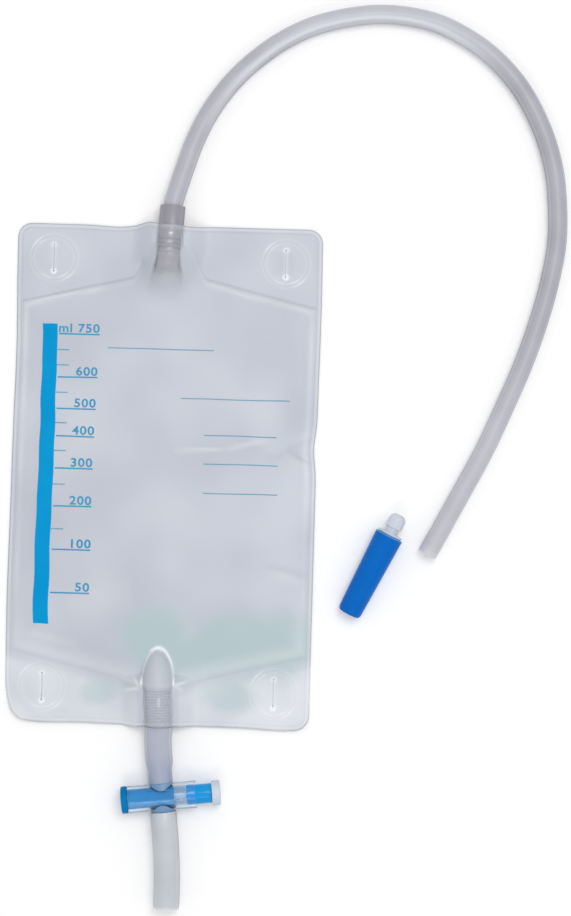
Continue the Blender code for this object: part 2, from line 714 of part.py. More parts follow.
def add_connector(axis, material):
    """The stepped nozzle for a catheter, its flange, and the barbed stub for the inlet tube."""
    seat = CLEARANCE
    plug = CAP_MOUTH_RADIUS - CAP_WALL - CLEARANCE - PLUG_EASE
    along = seat - PLUG_LENGTH
    outline = []
    for radius, length in NOZZLE_STEPS:
        outline += [(along, radius), (along - length + NOZZLE_SHOULDER, radius - NOZZLE_TAPER)]
        along -= length
    outline.append((along, outline[-1][1] - NOZZLE_TIP_STEP))
    outline.append((along, CONNECTOR_BORE))
    outline.reverse()
    outline += [(seat - PLUG_LENGTH, plug - PLUG_TAPER), (seat, plug), (seat, FLANGE_RADIUS)]
    face = seat + FLANGE_THICKNESS
    stub = face + NECK_LENGTH
    tip = stub + STUB_LENGTH
    outline += [
        (face, FLANGE_RADIUS),
        (face, NECK_RADIUS),
        (stub, NECK_RADIUS),
        (stub + STUB_SHOULDER, STUB_RADIUS),
        *((tip - before, STUB_RADIUS - lost) for before, lost in STUB_TIP),
        (tip, CONNECTOR_BORE),
    ]
    add_object("catheter_connector", turned_mesh("catheter_connector", outline), material, axis)


def route_points():
    """The inlet tube's way, from the stop in its port, round the loop and back beside the bag.

    Past the port its points are (x, y, height) in millimetres, from the middle of the bag's top edge.
    """
    lead = [inlet_axis(y) for y in (INLET_STOP + CLEARANCE, INLET_STOP + TUBE_LEAD, INLET_OUTER_END)]
    free = [
        (1.6, 17, 6.6),
        (3.4, 28.2, 5.4),
        (7.9, 43.3, 4.8),
        (14.6, 58.5, 4.8),
        (24.8, 73.8, 4.8),
        (38.1, 86.9, 4.8),
        (54.4, 98.2, 4.8),
        (74.1, 106, 4.8),
        (101, 109, 4.8),
        (126.5, 106.9, 4.8),
        (146.8, 99.2, 4.8),
        (161.6, 86.7, 4.8),
        (173.2, 71, 4.8),
        (182.4, 52.1, 4.8),
        (188.5, 33.5, 4.8),
        (191.9, 16.1, 4.8),
        (192.6, -3.5, 4.8),
        (191, -24, 4.8),
        (186.6, -44.1, 4.8),
        (179.7, -65.3, 4.8),
        (170.7, -86.1, 4.8),
        (160.1, -108, 4.8),
        (148.2, -132, 4.8),
        (139.2, -148.5, 4.8),
        (132.9, -160.3, 4.8),
    ]
    return lead + [Vector((x * MM, BAG_END + y * MM, max(z * MM, TUBE_RADIUS))) for x, y, z in free]


def smooth_route(points, spacing):
    """Evenly spaced points on a smooth curve through the route's own points."""
    ends = [2 * points[0] - points[1], *points, 2 * points[-1] - points[-2]]
    fine = []
    for a, b, c, d in zip(ends, ends[1:], ends[2:], ends[3:]):
        for step in range(12):
            t = step / 12
            forward = (c - a) * t + (2 * a - 5 * b + 4 * c - d) * t * t
            fine.append(b + 0.5 * (forward + (3 * b - a - 3 * c + d) * t**3))
    fine.append(points[-1])
    length = sum((b - a).length for a, b in zip(fine, fine[1:]))
    count = round(length / spacing)
    made, walked, target = [fine[0]], 0.0, 1
    for a, b in zip(fine, fine[1:]):
        step = (b - a).length
        while target < count and walked + step >= target * length / count:
            made.append(a.lerp(b, (target * length / count - walked) / step))
            target += 1
        walked += step
    made.append(fine[-1])
    return made


def add_inlet_tube(material):
    """The free tube, as a plain round solid on its route."""
    points = smooth_route(route_points(), TUBE_SPACING)
    curve = bpy.data.curves.new("inlet_tube", "CURVE")
    curve.dimensions = "3D"
    curve.bevel_depth = TUBE_RADIUS
    curve.bevel_resolution = 3
    curve.use_fill_caps = True
    spline = curve.splines.new("POLY")
    spline.points.add(len(points) - 1)
    for place, point in zip(spline.points, points):
        place.co = (*point, 1)
    curve.materials.append(material)
    item = bpy.data.objects.new("inlet_tube", curve)
    bpy.context.collection.objects.link(item)


def main():
    clear_scene()
    film = plastic("film", (0.60, 0.62, 0.68), 0.3, 0.6)
    port = plastic("port", (0.36, 0.34, 0.41), 0.35, 0.8)
    soft = plastic("soft_tube", (0.50, 0.50, 0.56), 0.3, 0.7)
    drain = plastic("drain_tube", (0.60, 0.63, 0.66), 0.35, 0.7)
    clear = plastic("clear_plastic", (0.45, 0.55, 0.66), 0.15, 0.4)
    tap_blue = plastic("tap_blue", (0.01, 0.27, 0.62), 0.3)
    cap_blue = plastic("cap_blue", (0.005, 0.14, 0.53), 0.3)
    white = plastic("white_plastic", (0.70, 0.72, 0.76), 0.35)

    add_films(film)
    add_inlet_port(port)
    add_valve(film)
    add_inlet_tube(soft)
    add_outlet_tube(port)
    tap_axis = axis_empty("tap_axis", (*TAP_CENTRE, TAP_HEIGHT), TAP_TURN)
    add_tap_body(tap_axis, clear)
    add_tap_slider(tap_axis, tap_blue, white)
    add_drain_tube(drain)
    tilt = math.atan2(CAP_MOUTH_RADIUS - CAP_END_RADIUS, CAP_LENGTH)
    cap_height = CAP_MOUTH_RADIUS / math.cos(tilt)
    cap_axis = axis_empty("cap_axis", (*CAP_MOUTH, cap_height), CAP_TURN, tilt)
    add_cap(cap_axis, cap_blue)
    add_connector(cap_axis, white)


main()
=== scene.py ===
"""Looks of the urine drainage bag: films, print, ports, hose, slide tap and capped connector.

The bag lies on its back film at the frame's origin, +X across it and +Y towards the inlet.
"""

import math

import bmesh
import bpy
from mathutils import Euler, Matrix, Vector, noise


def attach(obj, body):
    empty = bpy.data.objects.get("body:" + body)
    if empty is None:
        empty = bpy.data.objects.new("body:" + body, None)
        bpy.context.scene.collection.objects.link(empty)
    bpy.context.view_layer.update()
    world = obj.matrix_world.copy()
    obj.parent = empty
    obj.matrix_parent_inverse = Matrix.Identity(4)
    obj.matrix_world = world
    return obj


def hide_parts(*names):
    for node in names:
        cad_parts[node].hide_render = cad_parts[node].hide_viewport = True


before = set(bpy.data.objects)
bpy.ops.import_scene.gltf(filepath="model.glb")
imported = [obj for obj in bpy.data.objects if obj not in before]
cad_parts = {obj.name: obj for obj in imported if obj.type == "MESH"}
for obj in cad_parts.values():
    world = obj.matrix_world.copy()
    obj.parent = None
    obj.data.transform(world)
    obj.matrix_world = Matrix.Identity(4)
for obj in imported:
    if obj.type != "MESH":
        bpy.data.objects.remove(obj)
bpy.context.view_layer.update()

MM = 0.001

# What the camera sees: its middle, its height of view and the turn that the bag has in it
VIEW_MIDDLE = Vector((60.58 * MM, 10.25 * MM, 0))
VIEW_HEIGHT = 458 * MM
VIEW_TURN = math.radians(1.65)
LENS = 100
SENSOR = 36

# Films
BAG_WIDTH = 152 * MM
BAG_LENGTH = 249 * MM
CORNER_RADIUS = 7 * MM
FILM_UNDER = 0.4 * MM
FILM_WALL = 0.3 * MM
FILM_GAP = 0.05 * MM
SIDE_WELD = 2.6 * MM
WELD_BEAD = 1.9 * MM
CROWN = 3.2 * MM
CROWN_RISE = 9 * MM
SHOULDER_SLOPE = math.radians(13.5)
INLET_SHOULDER = 102.2 * MM
OUTLET_SHOULDER = 106.4 * MM
FUNNEL_RISE = 16 * MM
FUNNEL_MIDDLE = 0.5 * MM
FUNNEL_INNER = 8 * MM
FUNNEL_OUTER = 19 * MM
SKIRT = 13 * MM
GRID = 1.5 * MM

# Buttonholes in the corners
BUTTONHOLE_INSET = Vector((18.1 * MM, 17.3 * MM))
BUTTONHOLE_LENGTH = 14 * MM
SLIT = 0.08 * MM
SLIT_END = 0.6 * MM
RING_OUTER = 11.9 * MM
RING_INNER = 10.2 * MM

# Ports and tubes
TUBE_RADIUS = 4.8 * MM
TUBE_BORE = 3.3 * MM
INLET_RADIUS = 6.25 * MM
INLET_BORE = 5.1 * MM
INLET_STOP_BORE = 3.9 * MM
INLET_LEAN = math.radians(3.5)
INLET_MIDDLE = Vector((0.1 * MM, 118 * MM))
INLET_OUTER_END = 134 * MM
INLET_STOP = 119 * MM
INLET_INNER_END = 110.5 * MM
INLET_HEIGHT = 7.08 * MM
INLET_DOME = 22 * MM
INLET_FLARE = 0.3
INLET_RIBS = 3
OUTLET_RADIUS = 6.75 * MM
OUTLET_BORE = 5.3 * MM
OUTLET_GRIP_RADIUS = 5.9 * MM
OUTLET_LEAN = math.radians(3)
OUTLET_MIDDLE = Vector((0.8 * MM, -114.5 * MM))
OUTLET_INNER_END = 104.5 * MM
OUTLET_HEIGHT = 7.59 * MM
OUTLET_DOME = 18 * MM
OUTLET_RIBS = 13
OUTLET_RIB_PITCH = 1.35
DOME_WIDTH = 8.5 * MM
DOME_RUN_IN = 3 * MM
HUG_GAP = 0.25 * MM
HOLD_START = 1 * MM
HOLD_END = 7 * MM
BOND_GAP = 0.05 * MM
LIP_LENGTH = 0.3 * MM
LIP_DEPTH = 0.15 * MM
END_LIP = 0.25 * MM
OUTLET_END_LIP = 0.3 * MM

# Valve sleeve
VALVE_RADIUS = 6 * MM
VALVE_LENGTH = 15 * MM
VALVE_LIP_WIDTH = 17.4 * MM
VALVE_LIP_HEIGHT = 1.3 * MM
VALVE_LIP_MIDDLE = 1.5 * MM
VALVE_WALL = 0.35 * MM
VALVE_STATIONS = 24

# Slide tap, whose own frame has +X along the barrel towards the knob and +Y up to the bag
TAP_CENTRE = Vector((4.1 * MM, -160 * MM, 6.75 * MM))
TAP_TURN = math.radians(6.3)
BARREL_RADIUS = 6.75 * MM
BARREL_HALF_LENGTH = 17 * MM
BARREL_BORE = 5.18 * MM
SLIDER_RADIUS = 4.88 * MM
BOSS_RADIUS = 5.7 * MM
BOSS_REACH = 7.2 * MM
STUB_REACH = 20.5 * MM
BARB_STEP = 0.6 * MM
BARB_LENGTH = 3.5 * MM
FLOW_BORE = 2.5 * MM
END_DISC = 3 * MM
WAIST_START = 5.9 * MM
WAIST_END = 12.3 * MM
SPINDLE_RADIUS = 1.75 * MM
KNOB_FACE = 25 * MM
KNOB_RADIUS = 6.25 * MM
KNOB_THICKNESS = 4 * MM
TOUCH = 0.3 * MM
DRAIN_RADIUS = 6.5 * MM
DRAIN_BORE = 4.35 * MM
DRAIN_END = Vector((7.6 * MM, -215.4 * MM, 6.5 * MM))

# Cap and connector, whose own frame has +X out of the cap's mouth
CAP_MOUTH = Vector((113.3 * MM, -26.7 * MM, 7.203 * MM))
CAP_TURN = math.radians(64.2)
CAP_LENGTH = 44.2 * MM
CAP_MOUTH_RADIUS = 7.2 * MM
CAP_END_RADIUS = 5.95 * MM
CAP_TILT = math.atan2(CAP_MOUTH_RADIUS - CAP_END_RADIUS, CAP_LENGTH)
CAP_WALL = 1.3 * MM
NOZZLE_STEPS = ((4.7 * MM, 11 * MM), (4.1 * MM, 11 * MM), (3.5 * MM, 11 * MM))

SIDES = 64
HOSE_SIDES = 40
SPLINE_STEPS = 24
SHARP_ANGLE = math.radians(40)
MERGE_DISTANCE = 0.001 * MM
GRAIN_DEPTH = 0.2 * MM

# Print on the front film: the right end and height of the line under each number, the heights of the
# short ticks between, and left end, right end and height of the writing lines, in mm
SCALE_BAR = (-62.7 * MM, -55.2 * MM, -75.6 * MM, 73.8 * MM)
SCALE_NUMBERS = {
    750: (-33.8, 69),
    600: (-34.3, 47.5),
    500: (-34.7, 31.7),
    400: (-35.1, 18),
    300: (-35.6, 2),
    200: (-35.5, -16.9),
    100: (-35.2, -38.5),
    50: (-35.3, -60.1),
}
SCALE_TICKS = (61.1, 53.5, 39.8, 24.6, 10.7, -6, -28.3)
NUMBER_HEIGHT = 4.3 * MM
NUMBER_WIDENING = 1.14
WRITING_LINES = (
    (-29.7, 23.3, 62.7),
    (7.7, 62, 38.5),
    (19.5, 56, 20.3),
    (19.4, 57, 6.1),
    (19.8, 56.9, -8.4),
)
CAPITAL_SHARE = 0.72
PRINT_LIFT = 0.06 * MM
PRINT_STEP = 1.4 * MM


def colour(red, green, blue):
    """A linear colour from 8-bit sRGB values."""
    def linear(value):
        value /= 255
        return value / 12.92 if value <= 0.04045 else ((value + 0.055) / 1.055) ** 2.4
    return (linear(red), linear(green), linear(blue), 1)


def smoothstep(low, high, value):
    t = min(1.0, max(0.0, (value - low) / (high - low)))
    return t * t * (3 - 2 * t)


def bump_at(value, middle, spread):
    """A smooth hill of height 1."""
    return math.exp(-(((value - middle) / spread) ** 2))


def line_at(value, middle, spread, strength):
    """A line drawn where value is near middle."""
    return strength * bump_at(value, middle, spread)


# Node groups

def new_group(name, inputs, outputs):
    group = bpy.data.node_groups.new(name, "ShaderNodeTree")
    for label, kind, default in inputs:
        socket = group.interface.new_socket(label, in_out="INPUT", socket_type=kind)
        if default is not None:
            socket.default_value = default
    for label, kind in outputs:
        group.interface.new_socket(label, in_out="OUTPUT", socket_type=kind)
    return group, group.nodes.new("NodeGroupInput"), group.nodes.new("NodeGroupOutput")


def node(tree, kind, inputs=None, **settings):
    made = tree.nodes.new(kind)
    for name, value in settings.items():
        setattr(made, name, value)
    for key, value in (inputs or {}).items():
        if isinstance(value, bpy.types.NodeSocket):
            tree.links.new(value, made.inputs[key])
        else:
            made.inputs[key].default_value = value
    return made


def mottle_group():
    """Soft uneven shade and fine height, as moulded and calendered plastic has."""
    group, start, end = new_group(
        "plastic_mottle",
        [
            ("Shade", "NodeSocketColor", (0.8, 0.8, 0.8, 1)),
            ("Light", "NodeSocketColor", (0.9, 0.9, 0.9, 1)),
            ("Patch Scale", "NodeSocketFloat", 20.0),
            ("Grain Scale", "NodeSocketFloat", 900.0),
            ("Roughness", "NodeSocketFloat", 0.3),
            ("Roughness Change", "NodeSocketFloat", 0.1),
        ],
        [
            ("Colour", "NodeSocketColor"),
            ("Roughness", "NodeSocketFloat"),
            ("Height", "NodeSocketFloat"),
        ],
    )
    place = node(group, "ShaderNodeTexCoord").outputs["Object"]
    patches = node(
        group,
        "ShaderNodeTexNoise",
        {"Vector": place, "Scale": start.outputs["Patch Scale"], "Detail": 1.0, "Roughness": 0.5},
    )
    grain = node(
        group,
        "ShaderNodeTexNoise",
        {"Vector": place, "Scale": start.outputs["Grain Scale"], "Detail": 2.0},
    )
    spread = node(
        group,
        "ShaderNodeMapRange",
        {"Value": patches.outputs["Fac"], "From Min": 0.2, "From Max": 0.8},
        interpolation_type="SMOOTHSTEP",
    )
    blend = node(
        group,
        "ShaderNodeMix",
        {0: spread.outputs["Result"], 6: start.outputs["Shade"], 7: start.outputs["Light"]},
        data_type="RGBA",
    )
    rough = node(
        group,
        "ShaderNodeMath",
        {
            0: grain.outputs["Fac"],
            1: start.outputs["Roughness Change"],
            2: start.outputs["Roughness"],
        },
        operation="MULTIPLY_ADD",
    )
    group.links.new(blend.outputs[2], end.inputs["Colour"])
    group.links.new(rough.outputs["Value"], end.inputs["Roughness"])
    group.links.new(grain.outputs["Fac"], end.inputs["Height"])
    return group


MOTTLE = mottle_group()


def plastic(
    name, shade, light, roughness, patch=90.0, grain=900.0, bump=0.02, alpha=1.0, **sockets
):
    """A plastic with a soft change of tint, a fine grain and its own gloss."""
    made = bpy.data.materials.new(name)
    made.use_nodes = True
    tree = made.node_tree
    shader = tree.nodes["Principled BSDF"]
    mottle = tree.nodes.new("ShaderNodeGroup")
    mottle.node_tree = MOTTLE
    mottle.inputs["Shade"].default_value = shade
    mottle.inputs["Light"].default_value = light
    mottle.inputs["Patch Scale"].default_value = patch
    mottle.inputs["Grain Scale"].default_value = grain
    mottle.inputs["Roughness"].default_value = roughness
    raised = node(
        tree,
        "ShaderNodeBump",
        {"Height": mottle.outputs["Height"], "Strength": bump, "Distance": GRAIN_DEPTH},
    )
    tree.links.new(mottle.outputs["Colour"], shader.inputs["Base Color"])
    tree.links.new(mottle.outputs["Roughness"], shader.inputs["Roughness"])
    tree.links.new(raised.outputs["Normal"], shader.inputs["Normal"])
    shader.inputs["Alpha"].default_value = alpha
    for key, value in sockets.items():
        shader.inputs[key.replace("_", " ")].default_value = value
    made.diffuse_color = (*shade[:3], alpha)
    return made


def tube_plastic(name, stops, roughness, alpha=1.0, bump=0.01, **sockets):
    """A clear tube's plastic, its tint set by how far a point lies to the side of the tube: painted
    shade and light, dark at the edges with the lighter and darker bands that a lit clear tube shows.

    Each stop is a place, 0 on the core and 1 on the outer wall, and the red, green and blue there.
    """
    stops = [(place, colour(*tint)) for place, *tint in stops]
    low, high = (0.9, 0.9, 0.91, 1), (1, 1, 1, 1)
    made = plastic(name, low, high, roughness, 70.0, 800.0, bump, alpha, **sockets)
    tree = made.node_tree
    base = tree.nodes["Principled BSDF"].inputs["Base Color"]
    aside = node(tree, "ShaderNodeAttribute", attribute_name="aside")
    ramp = node(tree, "ShaderNodeValToRGB", {"Fac": aside.outputs["Fac"]})
    steps = ramp.color_ramp.elements
    while len(steps) < len(stops):
        steps.new(0.5)
    for step, (place, tint) in zip(steps, stops):
        step.position = place
        step.color = tint
    blend = node(
        tree,
        "ShaderNodeMix",
        {0: 1.0, 6: ramp.outputs["Color"], 7: base.links[0].from_socket},
        data_type="RGBA",
        blend_type="MULTIPLY",
    )
    tree.links.new(blend.outputs[2], base)
    made.diffuse_color = (*stops[0][1][:3], alpha)
    return made


def tint_by_attribute(made, attribute, tint, amount=1.0):
    """Blends a tint over the base colour where the mesh attribute says so."""
    tree = made.node_tree
    base = tree.nodes["Principled BSDF"].inputs["Base Color"]
    under = base.links[0].from_socket
    mask = node(tree, "ShaderNodeAttribute", attribute_name=attribute)
    share = node(
        tree,
        "ShaderNodeMath",
        {0: mask.outputs["Fac"], 1: amount},
        operation="MULTIPLY",
    )
    blend = node(
        tree,
        "ShaderNodeMix",
        {0: share.outputs["Value"], 6: under, 7: tint},
        data_type="RGBA",
    )
    tree.links.new(blend.outputs[2], base)


def alpha_by_attribute(made, attribute, low, high):
    """Alpha runs from low to high with the mesh attribute."""
    tree = made.node_tree
    mask = node(tree, "ShaderNodeAttribute", attribute_name=attribute)
    change = node(
        tree,
        "ShaderNodeMapRange",
        {"Value": mask.outputs["Fac"], "To Min": low, "To Max": high},
    )
    tree.links.new(change.outputs["Result"], tree.nodes["Principled BSDF"].inputs["Alpha"])


# Meshes

def new_object(name, bm):
    """A plain object from a bmesh, which is freed."""
    mesh = bpy.data.meshes.new(name)
    bm.to_mesh(mesh)
    bm.free()
    item = bpy.data.objects.new(name, mesh)
    bpy.context.collection.objects.link(item)
    return item


def finished(name, bm, material, body, slot, *replaced):
    """The piece from a bmesh, riding on its body in place of its CAD nodes."""
    mesh = bpy.data.meshes.new(name)
    bm.to_mesh(mesh)
    bm.free()
    return finished_mesh(name, mesh, material, body, slot, *replaced)


def finished_mesh(name, mesh, material, body, slot, *replaced):
    mesh.materials.clear()
    mesh.materials.append(material)
    mesh.shade_smooth()
    mesh.set_sharp_from_angle(angle=SHARP_ANGLE)
    item = bpy.data.objects.new(name, mesh)
    bpy.context.collection.objects.link(item)
    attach(item, body)
    if replaced:
        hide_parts(*replaced)
    return item


def softened(outline, steps=4):
    """Points of an outline of (along, radius, rounding), with its corners rounded."""
    made = []
    count = len(outline)
    for i, (along, radius, rounding) in enumerate(outline):
        here = Vector((along, radius))
        if not rounding:
            made.append(here)
            continue
        before = here + (Vector(outline[i - 1][:2]) - here).normalized() * rounding
        after = here + (Vector(outline[(i + 1) % count][:2]) - here).normalized() * rounding
        for step in range(steps + 1):
            t = step / steps
            made.append((1 - t) ** 2 * before + 2 * t * (1 - t) * here + t * t * after)
    return made


def turned(outline):
    """A closed bmesh of an outline of (along, radius, rounding) turned about X."""
    bm = bmesh.new()
    points = [bm.verts.new((p.x, p.y, 0)) for p in softened(outline)]
    edges = [bm.edges.new(pair) for pair in zip(points, points[1:])]
    if min(p.co.y for p in points) > 0:
        edges.append(bm.edges.new((points[-1], points[0])))
    bmesh.ops.spin(
        bm,
        geom=points + edges,
        cent=(0, 0, 0),
        axis=(1, 0, 0),
        angle=math.tau,
        steps=SIDES,
        use_merge=True,
    )
    bmesh.ops.remove_doubles(bm, verts=bm.verts, dist=MERGE_DISTANCE)
    bmesh.ops.recalc_face_normals(bm, faces=bm.faces)
    return bm


def rod(reach, radius, rounding=0.0):
    """A round bmesh bar about X, as long on both sides of the origin."""
    return turned(
        [(-reach, 0, 0), (-reach, radius, rounding), (reach, radius, rounding), (reach, 0, 0)]
    )


def mark(bm, label, strength):
    """Stores strength(place) at each vertex, for a material to read."""
    layer = bm.verts.layers.float.new(label)
    for vert in bm.verts:
        vert[layer] = strength(vert.co)


def ring(bm, centre, direction, width, height, sides):
    """One round or flattened ring, square to direction."""
    made = bmesh.ops.create_circle(bm, segments=sides, radius=1)["verts"]
    # aside: how far to the side of the tube a vertex lies, by which the tube's plastic paints shade
    # and light
    aside = bm.verts.layers.float["aside"]
    for vert in made:
        vert[aside] = abs(vert.co.x)
    across = direction.cross(Vector((0, 0, 1))).normalized()
    upward = across.cross(direction).normalized()
    turn = Matrix((across * width, upward * height, direction)).transposed().to_4x4()
    bmesh.ops.transform(bm, verts=made, matrix=Matrix.Translation(centre) @ turn)
    return made


def tube(stations, sides=SIDES):
    """A hollow bmesh tube through stations of (centre, outer, inner).

    Outer and inner are each a (half width, half height). The faces are made one by one, because
    bridge_loops joins some of these rings crookedly.
    """
    bm = bmesh.new()
    bm.verts.layers.float.new("aside")
    outer, inner = [], []
    last = len(stations) - 1
    for i, (centre, outside, inside) in enumerate(stations):
        along = (stations[min(i + 1, last)][0] - stations[max(i - 1, 0)][0]).normalized()
        outer.append(ring(bm, centre, along, *outside, sides))
        inner.append(ring(bm, centre, along, *inside, sides))
    rings = [*outer, *reversed(inner)]
    for a, b in zip(rings, rings[1:] + rings[:1]):
        for i in range(sides):
            bm.faces.new((a[i - 1], a[i], b[i], b[i - 1]))
    bmesh.ops.recalc_face_normals(bm, faces=bm.faces)
    return bm


def both(radius):
    return (radius, radius)


def spline(points, spacing):
    """Evenly spaced points on a smooth curve through the given ones."""
    ends = [2 * points[0] - points[1], *points, 2 * points[-1] - points[-2]]
    fine = []
    for a, b, c, d in zip(ends, ends[1:], ends[2:], ends[3:]):
        for step in range(SPLINE_STEPS):
            t = step / SPLINE_STEPS
            forward = (c - a) * t + (2 * a - 5 * b + 4 * c - d) * t * t
            fine.append(b + 0.5 * (forward + (3 * b - a - 3 * c + d) * t**3))
    fine.append(points[-1])
    length = sum((b - a).length for a, b in zip(fine, fine[1:]))
    count = round(length / spacing)
    made, walked, target = [fine[0]], 0.0, 1
    for a, b in zip(fine, fine[1:]):
        step = (b - a).length
        while target < count and walked + step >= target * length / count:
            made.append(a.lerp(b, (target * length / count - walked) / step))
            target += 1
        walked += step
    made.append(fine[-1])
    return made, length


def cut(name, bm, cutters, wall=0.0):
    """The mesh left when bm has its wall and each (operation, bmesh) was applied to it in turn."""
    body = new_object(name, bm)
    if wall:
        shell = body.modifiers.new("wall", "SOLIDIFY")
        shell.thickness = wall
        shell.offset = -1
    tools = []
    for operation, tool in cutters:
        tools.append(new_object("cutter", tool))
        modifier = body.modifiers.new("cut", "BOOLEAN")
        modifier.operation = operation
        modifier.object = tools[-1]
        modifier.solver = "MANIFOLD"
    graph = bpy.context.evaluated_depsgraph_get()
    mesh = bpy.data.meshes.new_from_object(body.evaluated_get(graph))
    for item in (body, *tools):
        bpy.data.objects.remove(item, do_unlink=True)
    return mesh


# Shape of the films

def leaning_x(middle, lean, y):
    return middle.x + math.tan(lean) * (y - middle.y)


def inlet_axis(y):
    return Vector((leaning_x(INLET_MIDDLE, INLET_LEAN, y), y, INLET_HEIGHT))


def outlet_axis(y):
    return Vector((leaning_x(OUTLET_MIDDLE, -OUTLET_LEAN, y), y, OUTLET_HEIGHT))


# Each port as the films see it: axis, hugging radius, distance inside its inner end, dome and flare
PORTS = (
    (inlet_axis, INLET_RADIUS + HUG_GAP, lambda y: INLET_INNER_END - y, INLET_DOME, INLET_FLARE),
    (outlet_axis, OUTLET_RADIUS + HUG_GAP, lambda y: y + OUTLET_INNER_END, OUTLET_DOME, 0.0),
)


def chamber_depth(x, y):
    """Distance from the chamber's weld line, negative on the welded border and tabs."""
    side = BAG_WIDTH / 2 - SIDE_WELD - abs(x)
    fall = abs(x) * math.tan(SHOULDER_SLOPE)
    funnel = FUNNEL_RISE * (1 - smoothstep(FUNNEL_INNER, FUNNEL_OUTER, abs(x - FUNNEL_MIDDLE)))
    top = (INLET_SHOULDER + funnel - fall - y) * math.cos(SHOULDER_SLOPE)
    bottom = (y + OUTLET_SHOULDER - fall) * math.cos(SHOULDER_SLOPE)
    return min(side, top, bottom)


def film_faces(x, y):
    """Height of the back film's upper face and of the front film's lower face."""
    depth = max(0.0, chamber_depth(x, y))
    back = FILM_UNDER
    front = FILM_UNDER + FILM_GAP + CROWN * (1 - math.exp(-depth / CROWN_RISE))
    for axis, hug, inside, dome, flare in PORTS:
        centre = axis(y)
        away = abs(x - centre.x)
        within = inside(y)
        hold = 1 - smoothstep(HOLD_START, HOLD_END, within)
        if away < hug:
            half = math.sqrt(hug**2 - away**2)
            low, high = centre.z - half, centre.z + half
        else:
            seam = FILM_UNDER + (centre.z - FILM_UNDER) * (1 - smoothstep(0, SKIRT, away - hug))
            low, high = seam - FILM_GAP / 2, seam + FILM_GAP / 2
        back += hold * (low - FILM_UNDER)
        front = max(front, FILM_UNDER + FILM_GAP + hold * (high - FILM_UNDER - FILM_GAP))
        width = hug + (DOME_WIDTH - hug) * smoothstep(-DOME_RUN_IN, 0, within)
        width += flare * max(0.0, within)
        reach = 1 - (away / width) ** 2 - (max(0.0, within) / dome) ** 2
        if within > -DOME_RUN_IN and reach > 0:
            top = centre.z + hug - FILM_UNDER - FILM_GAP
            front = max(front, FILM_UNDER + FILM_GAP + top * math.sqrt(reach))
    return back, front


def ring_distance(x, y):
    """Distance from the middle of the nearest buttonhole."""
    hole_x = BAG_WIDTH / 2 - BUTTONHOLE_INSET.x
    hole_y = BAG_LENGTH / 2 - BUTTONHOLE_INSET.y
    return math.hypot(abs(x) - hole_x, abs(y) - hole_y)


def edge_distance(x, y):
    """Distance inside the rounded outline."""
    corner_x = BAG_WIDTH / 2 - CORNER_RADIUS - abs(x)
    corner_y = BAG_LENGTH / 2 - CORNER_RADIUS - abs(y)
    if corner_x < 0 and corner_y < 0:
        return CORNER_RADIUS - math.hypot(corner_x, corner_y)
    return CORNER_RADIUS + min(corner_x, corner_y)


# Creases in the front film: two ends, width and height, in mm
CREASES = (
    ((75, 22), (52, 10), 2.2, 0.8),
    ((75, 9), (58, 16), 1.8, -0.6),
    ((60, 12), (38, 20), 3.0, 0.5),
    ((-73, 60), (-70, -40), 3.5, 0.5),
    ((-66, 40), (-64, -60), 3.0, -0.4),
    ((64, 84), (69, 30), 4.0, 0.5),
    ((-9, -106), (-12.8, -99.5), 1.1, 0.4),
    ((-8.5, -105.5), (-17, -107.5), 1.2, 0.4),
    ((8.5, -104.5), (16, -102), 1.1, 0.4),
    ((9, -104.5), (13, -107), 1.1, 0.35),
    ((-30, -60), (-48, -88), 4.0, 0.5),
    ((2, -78), (20, -62), 5.0, 0.5),
    ((66, -96), (74, -92), 1.0, 0.5),
    ((-34, 96), (-58, 90), 2.0, 0.4),
)


def segment_distance(x, y, start, end):
    a = Vector(start) * MM
    b = Vector(end) * MM
    along = b - a
    t = min(1.0, max(0.0, (Vector((x, y)) - a).dot(along) / along.length_squared))
    return (a + along * t - Vector((x, y))).length, math.sin(math.pi * min(1.0, max(0.0, t))) ** 0.5


# Waves in the front film: length in mm, place in the noise and height in mm
WAVES = ((34, (3.1, 7.7, 0), 0.8), (15, (9.4, 1.3, 0), 0.25))
CALM_BORDER = 14 * MM
BORDER_RIPPLE = 0.1 * MM
BORDER_RIPPLE_LENGTH = 9 * MM

# Raised lines along the welds: distance from the weld or the edge, spread and height
SHOULDER_RIDGE = (1.2 * MM, 1.3 * MM, 0.16 * MM)
SHOULDER_RIDGE_FADE = (2 * MM, 5 * MM)
BORDER_RIDGE = (WELD_BEAD, 0.6 * MM, 0.07 * MM)
RING_RIDGE = 0.1 * MM
OUTER_RING_SPREAD = 0.7 * MM
INNER_RING_SPREAD = 0.6 * MM


def crumple(x, y):
    """What the front film adds to its plain shape: waves, creases, weld lines and rings."""
    depth = chamber_depth(x, y)
    inside = smoothstep(0, CALM_BORDER, depth)
    spot = Vector((x, y, 0))
    waves = 0.0
    for length, place, height in WAVES:
        waves += noise.noise(spot / (length * MM) + Vector(place)) * height
    made = waves * inside * MM
    made += BORDER_RIPPLE * (1 + noise.noise(spot / BORDER_RIPPLE_LENGTH)) * (1 - inside)
    for start, end, width, height in CREASES:
        away, taper = segment_distance(x, y, start, end)
        made += height * MM * taper * bump_at(away, 0, width * MM)
    edge = edge_distance(x, y)
    made += line_at(depth, *SHOULDER_RIDGE) * smoothstep(*SHOULDER_RIDGE_FADE, edge)
    made += line_at(edge, *BORDER_RIDGE)
    away = ring_distance(x, y)
    rings = bump_at(away, RING_OUTER, OUTER_RING_SPREAD) + bump_at(away, RING_INNER, INNER_RING_SPREAD)
    return made + RING_RIDGE * rings


# The front film crumples less near a port's axis, towards both ends of the bag
CALM_BESIDE_PORT = (7 * MM, 14 * MM)
CALM_TO_THE_END = (80 * MM, 96 * MM)
CALM_SHARE = 0.9


